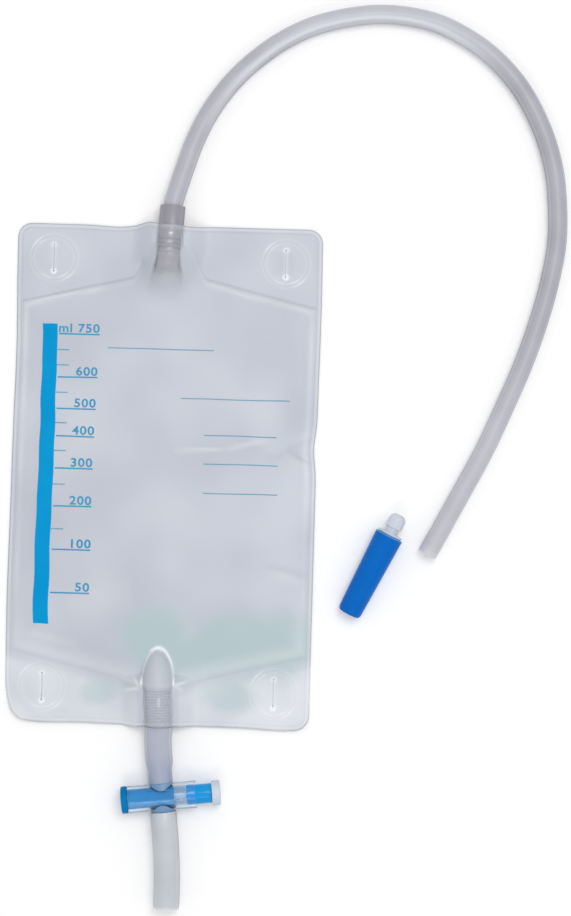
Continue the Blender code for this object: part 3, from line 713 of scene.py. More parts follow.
def front_top(x, y):
    """Height of the front film's printed face."""
    _, front = film_faces(x, y)
    near_port = min(abs(x - axis(y).x) for axis, *_ in PORTS)
    over_port = 1 - smoothstep(*CALM_BESIDE_PORT, near_port)
    over_port *= smoothstep(*CALM_TO_THE_END, abs(y))
    return front + FILM_WALL + crumple(x, y) * (1 - CALM_SHARE * over_port)


def valve_section(y):
    """Centre, half width and half height of the valve sleeve at y."""
    share = (INLET_INNER_END - BOND_GAP - y) / VALVE_LENGTH
    flat = smoothstep(0.05, 1, share)
    width = VALVE_RADIUS + flat * (VALVE_LIP_WIDTH / 2 - VALVE_RADIUS)
    height = VALVE_RADIUS + flat * (VALVE_LIP_HEIGHT / 2 - VALVE_RADIUS)
    middle = INLET_HEIGHT + flat * (VALVE_LIP_MIDDLE - INLET_HEIGHT)
    return Vector((inlet_axis(y).x, y, middle)), width, height


# Part of the front film that settles over the inlet port's inner end
TENT_HALF_WIDTH = 30 * MM
TENT_LOW = 70 * MM
TENT_HIGH = 114 * MM
TENT_WELD = 0.8 * MM
TENT_ROUNDS = 90
PORT_EDGE = 0.6 * MM


def lowest_tent(x, y):
    """How low the front film may settle over the inlet port and its valve sleeve."""
    if y > INLET_INNER_END - PORT_EDGE:
        centre, width = inlet_axis(y), INLET_RADIUS + HUG_GAP
        height = width
    else:
        centre, width, height = valve_section(y)
        if y < INLET_INNER_END - VALVE_LENGTH:
            return 0.0
    away = abs(x - centre.x) / width
    if away >= 1:
        return 0.0
    return centre.z + height * math.sqrt(1 - away**2) + FILM_WALL + HUG_GAP


def settle_tent(bm):
    """Lets the front film hang softly over the end of the inlet port, as a tent."""
    tent = []
    for vert in bm.verts:
        x, y, _ = vert.co
        in_reach = abs(x) < TENT_HALF_WIDTH and TENT_LOW < y < TENT_HIGH
        if in_reach and chamber_depth(x, y) > TENT_WELD:
            tent.append(vert)
    lowest = [lowest_tent(*vert.co.xy) for vert in tent]
    for _ in range(TENT_ROUNDS):
        bmesh.ops.smooth_vert(bm, verts=tent, factor=0.5, use_axis_z=True)
        for vert, low in zip(tent, lowest):
            vert.co.z = max(vert.co.z, low)


# How the real outline waves in and out: side or end, then place along it, spread and push along +X
# or +Y, in mm
SIDE_WAVES = ((1, 14.6, 9, -1.3), (-1, 60, 30, 0.7), (-1, -60, 35, -0.6), (1, 85, 35, 0.5))
END_WAVES = (
    (1, -10.5, 5, 1.4),
    (1, -26, 9, -0.9),
    (1, 11, 6, -0.6),
    (-1, -38, 14, 0.5),
    (-1, -12, 5, -0.6),
    (-1, 62, 14, -0.9),
)
SIDE_REACH = (30 * MM, 76 * MM)
END_REACH = (90 * MM, 124 * MM)
END_SHRINK = 0.5 * MM
CURLED_CORNER = Vector((3.4, 1.8, 1.2)) * MM
CURL_SPREAD = 11 * MM
LOW_EDGE_LIFT = 1.3 * MM


def outline_shift(x, y):
    """How far a spot of the films is moved to give them the real outline."""
    dx = dy = 0.0
    for side, place, spread, push in SIDE_WAVES:
        dx += push * MM * bump_at(y, place * MM, spread * MM) * smoothstep(*SIDE_REACH, side * x)
    for end, place, spread, push in END_WAVES:
        dy += push * MM * bump_at(x, place * MM, spread * MM) * smoothstep(*END_REACH, end * y)
    top_left = smoothstep(*END_REACH, y) * smoothstep(10 * MM, 40 * MM, -x)
    dy -= END_SHRINK * (smoothstep(*END_REACH, -y) + top_left)
    lift = LOW_EDGE_LIFT * smoothstep(112 * MM, 124 * MM, -y) * smoothstep(12 * MM, 26 * MM, abs(x))
    corner = bump_at(math.hypot(x + BAG_WIDTH / 2, y + BAG_LENGTH / 2), 0, CURL_SPREAD)
    return Vector((dx, dy, lift)) + CURLED_CORNER * corner


# Where the films' grid is finer
FINE_NEAR_RING = 1.8 * MM
FINE_NEAR_WELD = 3.2 * MM
FINE_PORT_HALF_WIDTH = 19 * MM
FINE_PORT_FROM = 82 * MM
FINE_DOME_HALF_WIDTH = 13 * MM
FINE_DOME_LOW = -110 * MM
FINE_DOME_HIGH = -84 * MM


def flat_film():
    """A flat grid in the rounded outline, finer where the film has small shapes."""
    bm = bmesh.new()
    across = round(BAG_WIDTH / GRID)
    along = round(BAG_LENGTH / GRID)
    bmesh.ops.create_grid(bm, x_segments=across, y_segments=along, size=0.5)
    bmesh.ops.scale(bm, vec=(BAG_WIDTH, BAG_LENGTH, 1), verts=bm.verts)
    for vert in bm.verts:
        a = (abs(vert.co.x) - BAG_WIDTH / 2) / CORNER_RADIUS + 1
        b = (abs(vert.co.y) - BAG_LENGTH / 2) / CORNER_RADIUS + 1
        if a > 0 and b > 0:
            x = a * math.sqrt(1 - b * b / 2)
            y = b * math.sqrt(1 - a * a / 2)
            vert.co.x = math.copysign(BAG_WIDTH / 2 + (x - 1) * CORNER_RADIUS, vert.co.x)
            vert.co.y = math.copysign(BAG_LENGTH / 2 + (y - 1) * CORNER_RADIUS, vert.co.y)
    fine = []
    for face in bm.faces:
        x, y, _ = face.calc_center_median()
        near_ring = ring_distance(x, y) < RING_OUTER + FINE_NEAR_RING
        near_edge = edge_distance(x, y) < FINE_NEAR_WELD
        near_shoulder = abs(chamber_depth(x, y)) < FINE_NEAR_WELD
        near_port = abs(x) < FINE_PORT_HALF_WIDTH and abs(y) > FINE_PORT_FROM
        if near_ring or near_edge or near_shoulder or near_port:
            fine.append(face)
    edges = list({edge for face in fine for edge in face.edges})
    bmesh.ops.subdivide_edges(bm, edges=edges, cuts=1, use_grid_fill=True)
    dome = []
    for face in bm.faces:
        x, y, _ = face.calc_center_median()
        if abs(x) < FINE_DOME_HALF_WIDTH and FINE_DOME_LOW < y < FINE_DOME_HIGH:
            dome += face.edges
    bmesh.ops.subdivide_edges(bm, edges=list(set(dome)), cuts=1, use_grid_fill=True)
    return bm


SLIT_END_STEPS = 12
SLIT_CUT_FROM = -5 * MM
SLIT_CUT_DEPTH = 12 * MM


def slit_prisms():
    """The four buttonhole slits with their round ends, as cutters."""
    bm = bmesh.new()
    radius = SLIT_END / 2
    reach = BUTTONHOLE_LENGTH / 2 - radius
    opening = math.asin(SLIT / SLIT_END)
    for side_x in (-1, 1):
        for side_y in (-1, 1):
            x = side_x * (BAG_WIDTH / 2 - BUTTONHOLE_INSET.x)
            y = side_y * (BAG_LENGTH / 2 - BUTTONHOLE_INSET.y)
            points = []
            for end in (1, -1):
                first = end * math.pi / 2 - math.pi + opening
                for step in range(SLIT_END_STEPS + 1):
                    angle = first + step * (math.tau - 2 * opening) / SLIT_END_STEPS
                    spot_x = x + radius * math.cos(angle)
                    spot_y = y + end * reach + radius * math.sin(angle)
                    points.append(bm.verts.new((spot_x, spot_y, SLIT_CUT_FROM)))
            face = bm.faces.new(points)
            raised = bmesh.ops.extrude_face_region(bm, geom=[face])["geom"]
            tops = [item for item in raised if isinstance(item, bmesh.types.BMVert)]
            bmesh.ops.translate(bm, verts=tops, vec=(0, 0, SLIT_CUT_DEPTH))
    bmesh.ops.recalc_face_normals(bm, faces=bm.faces)
    return bm


# Damp patches in the lower half, where the films cling: middle and half size in mm, and strength
DAMP_PATCHES = (
    ((-2, -81), (19, 19), 1.0),
    ((16, -90), (14, 14), 0.95),
    ((32, -85), (18, 18), 1.0),
    ((46, -83), (18, 19), 1.0),
    ((60, -83), (19, 19), 0.95),
    ((-29, -108.5), (10, 7.5), 0.9),
    ((35.5, -110), (16, 9), 0.85),
    ((-50, -119.5), (8, 3), 0.3),
)


DAMP_DRIFT = 3
DAMP_DRIFT_LENGTH = 14 * MM

# The outlet's dome as it shows: its middle, half width and length
DOME_MIDDLE = 0.1 * MM
DOME_HALF_WIDTH = 8.0 * MM
DOME_LENGTH = 18.2 * MM


def dampness(x, y):
    """0 on dry film, up to 1 in the middle of a damp patch, with an uneven edge."""
    drift_x = noise.noise(Vector((x, y, 0.01)) / DAMP_DRIFT_LENGTH) * DAMP_DRIFT
    drift_y = noise.noise(Vector((y, x, 0.07)) / DAMP_DRIFT_LENGTH) * DAMP_DRIFT
    most = 0.0
    for (px, py), (half_x, half_y), strength in DAMP_PATCHES:
        dx = (x / MM + drift_x - px) / half_x
        dy = (y / MM + drift_y - py) / half_y
        most = max(most, strength * (1 - smoothstep(0.5, 1.2, math.hypot(dx, dy))))
    return most * smoothstep(0.9, 1.08, dome_reach(x, y))


def dome_reach(x, y):
    """1 on the outline of the outlet's dome, less inside it and over the welded tube."""
    within = y + OUTLET_INNER_END
    across = x - (DOME_MIDDLE if within > 0 else outlet_axis(y).x)
    return math.hypot(across / DOME_HALF_WIDTH, max(0.0, within) / DOME_LENGTH)


# Painted highlights and painted shade where the film is folded or catches the light, with small
# painted glints on the ports: two ends and width in mm, and strength
PALE_STREAKS = (
    ((-9, -105.5), (-12.8, -99.5), 0.9, 0.5),
    ((-8.5, -105.5), (-17, -107.5), 1.0, 0.5),
    ((-10, -104), (-20, -101), 1.4, 0.3),
    ((8.5, -104.5), (16, -102), 0.9, 0.5),
    ((9, -104.5), (13, -107), 0.9, 0.35),
    ((9, -104.5), (30, -98), 1.3, 0.25),
    ((1.3, -109.5), (1.5, -115), 0.8, 0.5),
    ((-0.4, 119.8), (1.8, 119.9), 0.6, 0.9),
    ((-1.6, 115.6), (2, 115.8), 0.5, 0.35),
    ((-1.6, 112), (2, 112.2), 0.5, 0.3),
    ((4, 12.5), (30, 13.5), 0.8, 0.35),
    ((30, 13.5), (52, 19), 1.2, 0.25),
    ((54, -47), (75, -53), 2.5, 0.12),
    ((-73, 84), (-40, 91), 0.8, 0.35),
    ((20, 96), (46, 88), 0.8, 0.3),
    ((-74, -79), (-40, -86), 2.0, 0.15),
    ((-46, -67), (-14, -58), 10.0, 0.13),
)
DARK_STREAKS = (
    ((64, 46), (64, 6), 7.0, 0.08),
    ((57.9, 101), (57.9, 114), 5.5, 0.14),
    ((-74, -107), (-64, -121), 5.0, 0.1),
    ((62, 14), (75, 7), 1.2, 0.3),
    ((50, -43), (75, -49), 1.6, 0.12),
)


def streak_at(x, y, places):
    """1 on the strongest of the streaks, 0 away from them."""
    made = 0.0
    for start, end, width, strength in places:
        away, taper = segment_distance(x, y, start, end)
        made = max(made, strength * taper * bump_at(away, 0, width * MM))
    return made


def dome_line(x, y):
    """1 on the painted highlight along the fold where the film rises round the outlet's dome."""
    within = y + OUTLET_INNER_END
    return bump_at(dome_reach(x, y), 1.0, 0.06) * smoothstep(-1.5 * MM, 1.5 * MM, within)


# Painted glossy arcs of the rings: turn, radius, strength
RING_ARCS = (
    (2.4, RING_OUTER, 0.5),
    (2.2, RING_INNER, 0.3),
    (-1.1, RING_INNER, 0.45),
    (-0.9, RING_OUTER, 0.5),
    (-1.9, RING_INNER, 0.4),
)
ARC_WIDTH = 0.55 * MM
ARC_SPREAD = 0.4

# Painted glints round the slits' ends: end, strength
SLIT_GLINTS = ((-1, 1.0), (1, 0.6))
SLIT_GLINT_RADIUS = 1.0 * MM
SLIT_GLINT_WIDTH = 0.6 * MM
SLIT_SHEEN = (0, 1.0 * MM, 0.3)


def ring_light(x, y):
    """1 on the painted glossy arcs of the rings, the painted sheen along the slits and the painted
    glints at their ends.
    """
    from_x = x - math.copysign(BAG_WIDTH / 2 - BUTTONHOLE_INSET.x, x)
    from_y = y - math.copysign(BAG_LENGTH / 2 - BUTTONHOLE_INSET.y, y)
    away = ring_distance(x, y)
    turn = math.atan2(from_y, from_x)
    made = line_at(from_x, *SLIT_SHEEN) * (1 - smoothstep(5 * MM, 7 * MM, abs(from_y)))
    for middle, radius, strength in RING_ARCS:
        gap = abs((turn - middle + math.pi) % math.tau - math.pi)
        made = max(made, line_at(away, radius, ARC_WIDTH, strength) * bump_at(gap, 0, ARC_SPREAD))
    end = BUTTONHOLE_LENGTH / 2 - SLIT_END / 2
    for side, strength in SLIT_GLINTS:
        dot = math.hypot(from_x, from_y - side * end)
        made = max(made, line_at(dot, SLIT_GLINT_RADIUS, SLIT_GLINT_WIDTH, strength))
    return made


# Pale and dark lines of the welds, the shoulder welds' pale lines being painted highlights on their
# ridges and the pale line above the low weld painted light: distance from the film's edge, the
# chamber's weld or a ring's middle, spread and strength
PALE_BORDER = (1.0 * MM, 0.6 * MM, 0.3)
PALE_WELD = (1.8 * MM, 1.4 * MM)
PALE_WELD_TOP = 0.3
PALE_WELD_LOW = 0.22
PALE_RINGS = ((RING_OUTER, 0.6 * MM, 0.14), (RING_INNER, 0.6 * MM, 0.14))
PALE_LOW_END = (3 * MM, 4 * MM, 0.2)
DARK_BORDER = (2.1 * MM, 0.4 * MM, 0.16)
DARK_WELD = (-0.4 * MM, 0.55 * MM)
DARK_WELD_TOP = 0.3
DARK_WELD_LOW = 0.12
DARK_RING = ((RING_OUTER + RING_INNER) / 2, 0.45 * MM, 0.12)

# The shoulder welds' lines stay off the border and fade in away from the ports
BORDER = 3 * MM
WELD_FADE = (9 * MM, 18 * MM)
LOW_HALF = (40 * MM, 90 * MM)
BESIDE_DOME = (1.0, 1.5)


def whitening(x, y):
    """1 where the film is painted paler: painted highlights on the dome's fold, the rings' arcs, the
    slits, folds, ports and the shoulder welds' ridges, pale lines along the border and rings, painted
    light above the lower weld, and paler low tabs.
    """
    edge = edge_distance(x, y)
    depth = chamber_depth(x, y)
    away = ring_distance(x, y)
    made = max(dome_line(x, y), ring_light(x, y), streak_at(x, y, PALE_STREAKS))
    made = max(made, line_at(edge, *PALE_BORDER), *(line_at(away, *line) for line in PALE_RINGS))
    if edge > BORDER:
        weld = (PALE_WELD_TOP if y > 0 else PALE_WELD_LOW) * smoothstep(*WELD_FADE, abs(x))
        waver = 0.6 + 0.8 * noise.noise(Vector((x / (12 * MM), 0.4, y / (30 * MM))))
        made = max(made, weld * max(0.0, waver) * bump_at(depth, *PALE_WELD))
    # Painted light on the chamber's slope above the lower weld, and paler low tabs
    low_end = smoothstep(*LOW_HALF, -y)
    beside_dome = smoothstep(*BESIDE_DOME, dome_reach(x, y))
    made = max(made, low_end * beside_dome * line_at(depth, *PALE_LOW_END))
    low_tab = smoothstep(0, 8 * MM, -depth) * low_end * beside_dome * (1 - 0.5 * dampness(x, y))
    streaks = 0.5 + noise.noise(Vector((x / (16 * MM), y / (26 * MM), 2.2)))
    return made + (1 - made) * low_tab * (0.22 + 0.25 * streaks)


def darkening(x, y):
    """1 on the thin dark lines: the outer edge's line, a painted contact shadow that is darker and
    wider along the low edge, the inner border line, the line between the rings and the shoulder weld's
    groove, and painted shade along folds and in darker bands.
    """
    edge = edge_distance(x, y)
    # Painted contact shadow along the edge, darker and wider along the low edge
    low_edge = smoothstep(110 * MM, 122 * MM, -y)
    rim = (0.7 + 0.3 * low_edge) * bump_at(edge, 0, (0.45 + 0.25 * low_edge) * MM)
    lines = line_at(edge, *DARK_BORDER), line_at(ring_distance(x, y), *DARK_RING)
    made = max(rim, streak_at(x, y, DARK_STREAKS), *lines)
    if edge > BORDER:
        weld = (DARK_WELD_TOP if y > 0 else DARK_WELD_LOW) * smoothstep(*WELD_FADE, abs(x))
        made = max(made, weld * bump_at(chamber_depth(x, y), *DARK_WELD))
    return made


# How clear the front film is over the ports, and how far beside them
OVER_OUTLET = 0.93
OVER_DOME = 0.13
INLET_CLEAR = 6.0 * MM
VALVE_CLEAR = 8.2 * MM


def clearness(x, y):
    """1 where the film is pressed clear over a port and its tube, 0 where it is frosted."""
    if y < 0:
        on_dome = smoothstep(-2.5 * MM, 0.5 * MM, y + OUTLET_INNER_END)
        over_tube = OVER_OUTLET + (OVER_DOME - OVER_OUTLET) * on_dome
        fade = smoothstep(0.7 + 0.1 * on_dome, 0.87 + 0.15 * on_dome, dome_reach(x, y))
        return over_tube * (1 - fade)
    on_valve = smoothstep(INLET_INNER_END, INLET_INNER_END - VALVE_LENGTH, y)
    reach = INLET_CLEAR + (VALVE_CLEAR - INLET_CLEAR) * on_valve
    near = 1 - smoothstep(reach - 0.8 * MM, reach + 0.7 * MM, abs(x - inlet_axis(y).x))
    over_end = 1 - 0.08 * bump_at(y, INLET_INNER_END, 1.5 * MM)
    return near * over_end * smoothstep(91 * MM, 105 * MM, y)


def film_mesh(name, height, marks, settle=None):
    """A film with its thickness, its slits and its marks stored for the material."""
    bm = flat_film()
    for label, shown in marks.items():
        mark(bm, label, lambda spot: shown(*spot.xy))
    for vert in bm.verts:
        vert.co.z = height(*vert.co.xy)
    if settle:
        settle(bm)
    for vert in bm.verts:
        vert.co += outline_shift(*vert.co.xy)
    return cut(name, bm, [("DIFFERENCE", slit_prisms())], FILM_WALL)


def film_plastic(name, pale):
    shade, light = colour(187, 192, 203), colour(203, 207, 217)
    made = plastic(name, shade, light, 0.42, 22.0, 1600.0, 0.03, Specular_IOR_Level=0.35)
    tint_by_attribute(made, "clear", colour(236, 240, 246))
    tint_by_attribute(made, "damp", colour(179, 197, 202))
    # dark holds dark weld lines, painted contact shadow at the edge and painted shade along folds;
    # pale holds painted highlights, painted light and pale lines
    tint_by_attribute(made, "dark", colour(115, 117, 127))
    tint_by_attribute(made, "pale", colour(244, 247, 250), pale)
    return made


def add_films():
    front = film_plastic("front_film_plastic", 1.0)
    alpha_by_attribute(front, "clear", 1.0, 0.07)
    back = film_plastic("back_film_plastic", 0.6)

    def clear(x, y):
        return clearness(x, y) * (1 - max(whitening(x, y), darkening(x, y), 0.35 * dampness(x, y)))

    marks = {"clear": clear, "damp": dampness, "dark": darkening, "pale": whitening}
    top = film_mesh("front_film_sheet", front_top, marks, settle_tent)
    finished_mesh("front_film_sheet", top, front, "bag", "film", "front_film")
    under = film_mesh("back_film_sheet", lambda x, y: film_faces(x, y)[0], marks)
    finished_mesh("back_film_sheet", under, back, "bag", "film", "back_film")


# Print

def drape(bm):
    """Lays flat print on the front film."""
    for vert in bm.verts:
        x, y, _ = vert.co
        vert.co = Vector((x, y, front_top(x, y) + PRINT_LIFT)) + outline_shift(x, y)


def strip(bm, left, right, low, high, waver=0.0):
    """A printed bar between two x and two y values, its edges wavering a little."""
    across = max(1, round((right - left) / PRINT_STEP))
    along = max(1, round((high - low) / PRINT_STEP))
    made = bmesh.ops.create_grid(bm, x_segments=across, y_segments=along, size=0.5)["verts"]
    for vert in made:
        x = (left + right) / 2 + vert.co.x * (right - left)
        y = (low + high) / 2 + vert.co.y * (high - low)
        x += waver * noise.noise(Vector((0.3, y / (18 * MM), 0)))
        y += waver * 0.5 * noise.noise(Vector((x / (18 * MM), 0.9, y / (30 * MM))))
        vert.co = (x, y, 0)


def number_mesh(bm, text, right, base):
    """Adds a printed number whose right end and foot are given."""
    curve = bpy.data.curves.new("number", "FONT")
    curve.body = text
    curve.size = NUMBER_HEIGHT / CAPITAL_SHARE
    curve.align_x = "RIGHT"
    curve.offset = 0.12 * MM
    curve.resolution_u = 5
    curve.space_character = 1.12
    item = bpy.data.objects.new("number", curve)
    bpy.context.collection.objects.link(item)
    graph = bpy.context.evaluated_depsgraph_get()
    mesh = bpy.data.meshes.new_from_object(item.evaluated_get(graph))
    mesh.transform(Matrix.Translation((right, base, 0)) @ Matrix.Diagonal((NUMBER_WIDENING, 1, 1, 1)))
    flat = bmesh.new()
    flat.from_mesh(mesh)
    for way in (0, 1):
        places = [vert.co[way] for vert in flat.verts]
        for step in range(1, math.ceil((max(places) - min(places)) / PRINT_STEP)):
            spot, normal = [0, 0, 0], [0, 0, 0]
            spot[way] = min(places) + step * PRINT_STEP
            normal[way] = 1
            bmesh.ops.bisect_plane(
                flat,
                geom=[*flat.verts, *flat.edges, *flat.faces],
                dist=MERGE_DISTANCE,
                plane_co=spot,
                plane_no=normal,
            )
    flat.to_mesh(mesh)
    flat.free()
    bm.from_mesh(mesh)
    bpy.data.objects.remove(item, do_unlink=True)
    bpy.data.meshes.remove(mesh)


NUMBER_LINE_LEFT = -54.4
NUMBER_LIFT = 1.0
TICK_ENDS = (-55.1, -49.1)


def printed_line(bm, left, right, y, thickness, waver):
    """A thin printed line, its measures in mm."""
    low, high = y - thickness / 2, y + thickness / 2
    strip(bm, left * MM, right * MM, low * MM, high * MM, waver * MM)


def ink(name, shade, light, roughness, patch=90.0):
    return plastic(name, shade, light, roughness, patch, bump=0.0, Specular_IOR_Level=0.05)


def add_print():
    bar_blue = ink("scale_blue_ink", colour(2, 148, 210), colour(8, 156, 216), 0.45, 60.0)
    text_blue = ink("number_blue_ink", colour(62, 150, 190), colour(76, 158, 196), 0.5)
    line_blue = ink("line_blue_ink", colour(110, 165, 190), colour(124, 172, 196), 0.5)
    bar = bmesh.new()
    strip(bar, *SCALE_BAR, waver=0.7 * MM)

    numbers = bmesh.new()
    for value, (right, y) in SCALE_NUMBERS.items():
        printed_line(numbers, NUMBER_LINE_LEFT, right, y, 0.7, 0.3)
        text = "ml 750" if value == 750 else str(value)
        number_mesh(numbers, text, right * MM, (y + NUMBER_LIFT) * MM)

    lines = bmesh.new()
    for y in SCALE_TICKS:
        printed_line(lines, *TICK_ENDS, y, 0.56, 0.2)
    for left, right, y in WRITING_LINES:
        printed_line(lines, left, right, y, 0.52, 0.5)

    for name, bm, blue in (
        ("scale_bar_print", bar, bar_blue),
        ("scale_number_print", numbers, text_blue),
        ("scale_line_print", lines, line_blue),
    ):
        drape(bm)
        finished(name, bm, blue, "bag", "tap_blue")


# Ports, valve and tubes

def mark_grooves(bm, axis, radius):
    """Stores how deep each vertex inside the bag lies in a groove between the ribs, where the material
    paints shade.
    """
    def groove(spot):
        if spot.y < -BAG_LENGTH / 2:
            return 0.0
        centre = axis(spot.y)
        depth = radius - math.hypot(spot.x - centre.x, spot.z - centre.z)
        return smoothstep(0.05 * MM, 0.2 * MM, depth)

    mark(bm, "groove", groove)


# A rib of the inlet port: place as a share of its pitch, and depth in mm
INLET_RIB = ((0.42, 0), (0.3, 0.22), (-0.05, 0.25), (-0.25, 0))


def add_inlet_port():
    # Stops across the port: painted shade at its edges, painted light between
    material = tube_plastic(
        "port_plastic",
        (
            (0.0, 155, 153, 163),
            (0.6, 149, 147, 157),
            (0.8, 156, 154, 165),
            (0.94, 138, 136, 147),
            (1.0, 104, 102, 112),
        ),
        0.3,
    )
    # Painted shade in the grooves between the ribs
    tint_by_attribute(material, "groove", colour(128, 122, 134), 0.4)
    pitch = (INLET_STOP - INLET_INNER_END) / (INLET_RIBS + 1)
    stations = [
        (INLET_OUTER_END, INLET_RADIUS - END_LIP, INLET_BORE + 0.2 * MM),
        (INLET_OUTER_END - LIP_LENGTH, INLET_RADIUS, INLET_BORE),
        (INLET_STOP + 3 * MM, INLET_RADIUS, INLET_BORE),
        (INLET_STOP, INLET_RADIUS, INLET_BORE),
        (INLET_STOP - TOUCH, INLET_RADIUS, INLET_STOP_BORE),
    ]
    for count in range(1, INLET_RIBS + 1):
        y = INLET_STOP - count * pitch
        for shift, low in INLET_RIB:
            stations.append((y + shift * pitch, INLET_RADIUS - low * MM, INLET_STOP_BORE))
    stations.append((INLET_INNER_END, INLET_RADIUS - END_LIP, INLET_STOP_BORE))
    bm = tube([(inlet_axis(y), both(outer), both(inner)) for y, outer, inner in stations])
    mark_grooves(bm, inlet_axis, INLET_RADIUS)
    finished("inlet_port_body", bm, material, "bag", "port", "inlet_port")


def add_valve():
    material = plastic("valve_film", colour(154, 151, 160), colour(163, 160, 169), 0.3, 80.0)
    tint_by_attribute(material, "lip", colour(190, 193, 200))
    rings = []
    for step in range(VALVE_STATIONS):
        y = INLET_INNER_END - BOND_GAP - step / (VALVE_STATIONS - 1) * VALVE_LENGTH
        centre, width, height = valve_section(y)
        rings.append((centre, (width, height), (width - VALVE_WALL, height - VALVE_WALL)))
    bm = tube(rings)
    near, far = 0.15 * VALVE_LENGTH, 0.9 * VALVE_LENGTH
    mark(bm, "lip", lambda spot: smoothstep(near, far, INLET_INNER_END - spot.y))
    finished("valve_sleeve", bm, material, "bag", "film", "non_return_valve")


# The hose comes down from its port to the table, then lies in one loop: spots of its middle, in mm
HOSE_FALL = ((2.9, 141.3, 6.6), (6.1, 152, 5.4))
HOSE_LOOP = (
    (11, 166.7), (17.9, 181.2), (27.9, 195.7), (40.5, 208.4), (56, 219.6), (74.7, 227.8),
    (101, 232.5), (126.2, 229.9), (145.6, 221.6), (160.9, 210.5), (173.7, 195.8), (183.8, 177.2),
    (189.9, 158.4), (192.3, 140.6), (192.6, 121), (189.4, 100.8), (184.4, 81), (177.5, 60),
    (169.1, 39.2), (159.4, 16.8), (147.3, -7), (138.7, -23.7), (132.4, -35.5),
)
HOSE_SPACING = 2.5 * MM

# The band of light along the hose's top bend: the way it faces, its place and spread across the hose
HOSE_LIGHT_WAY = Vector((0.35, -0.94, 0))
HOSE_LIGHT = (0.42, 0.3)


def hose_route():
    """The inlet tube's way, from the stop in its port, round the loop and back beside the bag."""
    lead = [inlet_axis(y) for y in (INLET_STOP + TOUCH, INLET_STOP + 8 * MM, INLET_OUTER_END)]
    fall = [Vector(spot) * MM for spot in HOSE_FALL]
    return lead + fall + [Vector((x * MM, y * MM, TUBE_RADIUS)) for x, y in HOSE_LOOP]


def hose_light(spot, middle, end):
    """1 where the hose is painted lighter: a painted highlight band along its top bend and left run,
    painted light along its top, and paler towards its free end, near the port and at its cut end.
    """
    aside = (spot - middle).dot(HOSE_LIGHT_WAY) / TUBE_RADIUS
    top = smoothstep(195 * MM, 230 * MM, spot.y)
    left = smoothstep(150 * MM, 215 * MM, spot.y) * smoothstep(110 * MM, 80 * MM, spot.x)
    band = max(top, left) * bump_at(aside, *HOSE_LIGHT)
    free_end = smoothstep(100 * MM, 10 * MM, spot.y) * smoothstep(90 * MM, 110 * MM, spot.x)
    near_port = smoothstep(60 * MM, 20 * MM, spot.x)
    lip = smoothstep(5 * MM, 1 * MM, (middle - end).length)
    return max(0.35 * top, 0.9 * band, 0.3 * free_end, 0.15 * near_port, 0.6 * lip)


def add_hose():
    # Stops across the hose: painted shade at its edges and painted light bands between
    material = tube_plastic(
        "hose_plastic",
        (
            (0.0, 178, 178, 186),
            (0.62, 176, 176, 184),
            (0.7, 168, 168, 176),
            (0.76, 188, 188, 196),
            (0.93, 180, 180, 188),
            (1.0, 136, 136, 146),
        ),
        0.25,
        Specular_IOR_Level=0.25,
    )
    # Painted highlight band and painted light, with paler places towards the free end, the port and
    # the cut end
    tint_by_attribute(material, "painted_light_and_pale", colour(226, 229, 237), 0.9)
    path, length = spline(hose_route(), HOSE_SPACING)
    bm = tube([(point, both(TUBE_RADIUS), both(TUBE_BORE)) for point in path], HOSE_SIDES)
    painted_light_and_pale = bm.verts.layers.float.new("painted_light_and_pale")
    for i, vert in enumerate(bm.verts):
        vert[painted_light_and_pale] = hose_light(vert.co, path[i // (2 * HOSE_SIDES)], path[-1])
    hose = finished("inlet_hose", bm, material, "bag", "soft_tube", "inlet_tube")


def tap_matrix():
    return Matrix.Translation(TAP_CENTRE) @ Matrix.Rotation(TAP_TURN, 4, "Z")


def tap_point(down):
    return tap_matrix() @ Vector((0, -down, 0))


# A rib of the outlet tube: way down from its start and depth, in mm
OUTLET_RIB = ((0, 0), (0.5, 0), (0.65, 0.2), (0.95, 0.2), (1.1, 0))
OUTLET_BOW = Vector((-0.25, 0, 0)) * MM
DRAIN_BOW = Vector((0.55, 0, 0)) * MM
DRAIN_STATIONS = 20


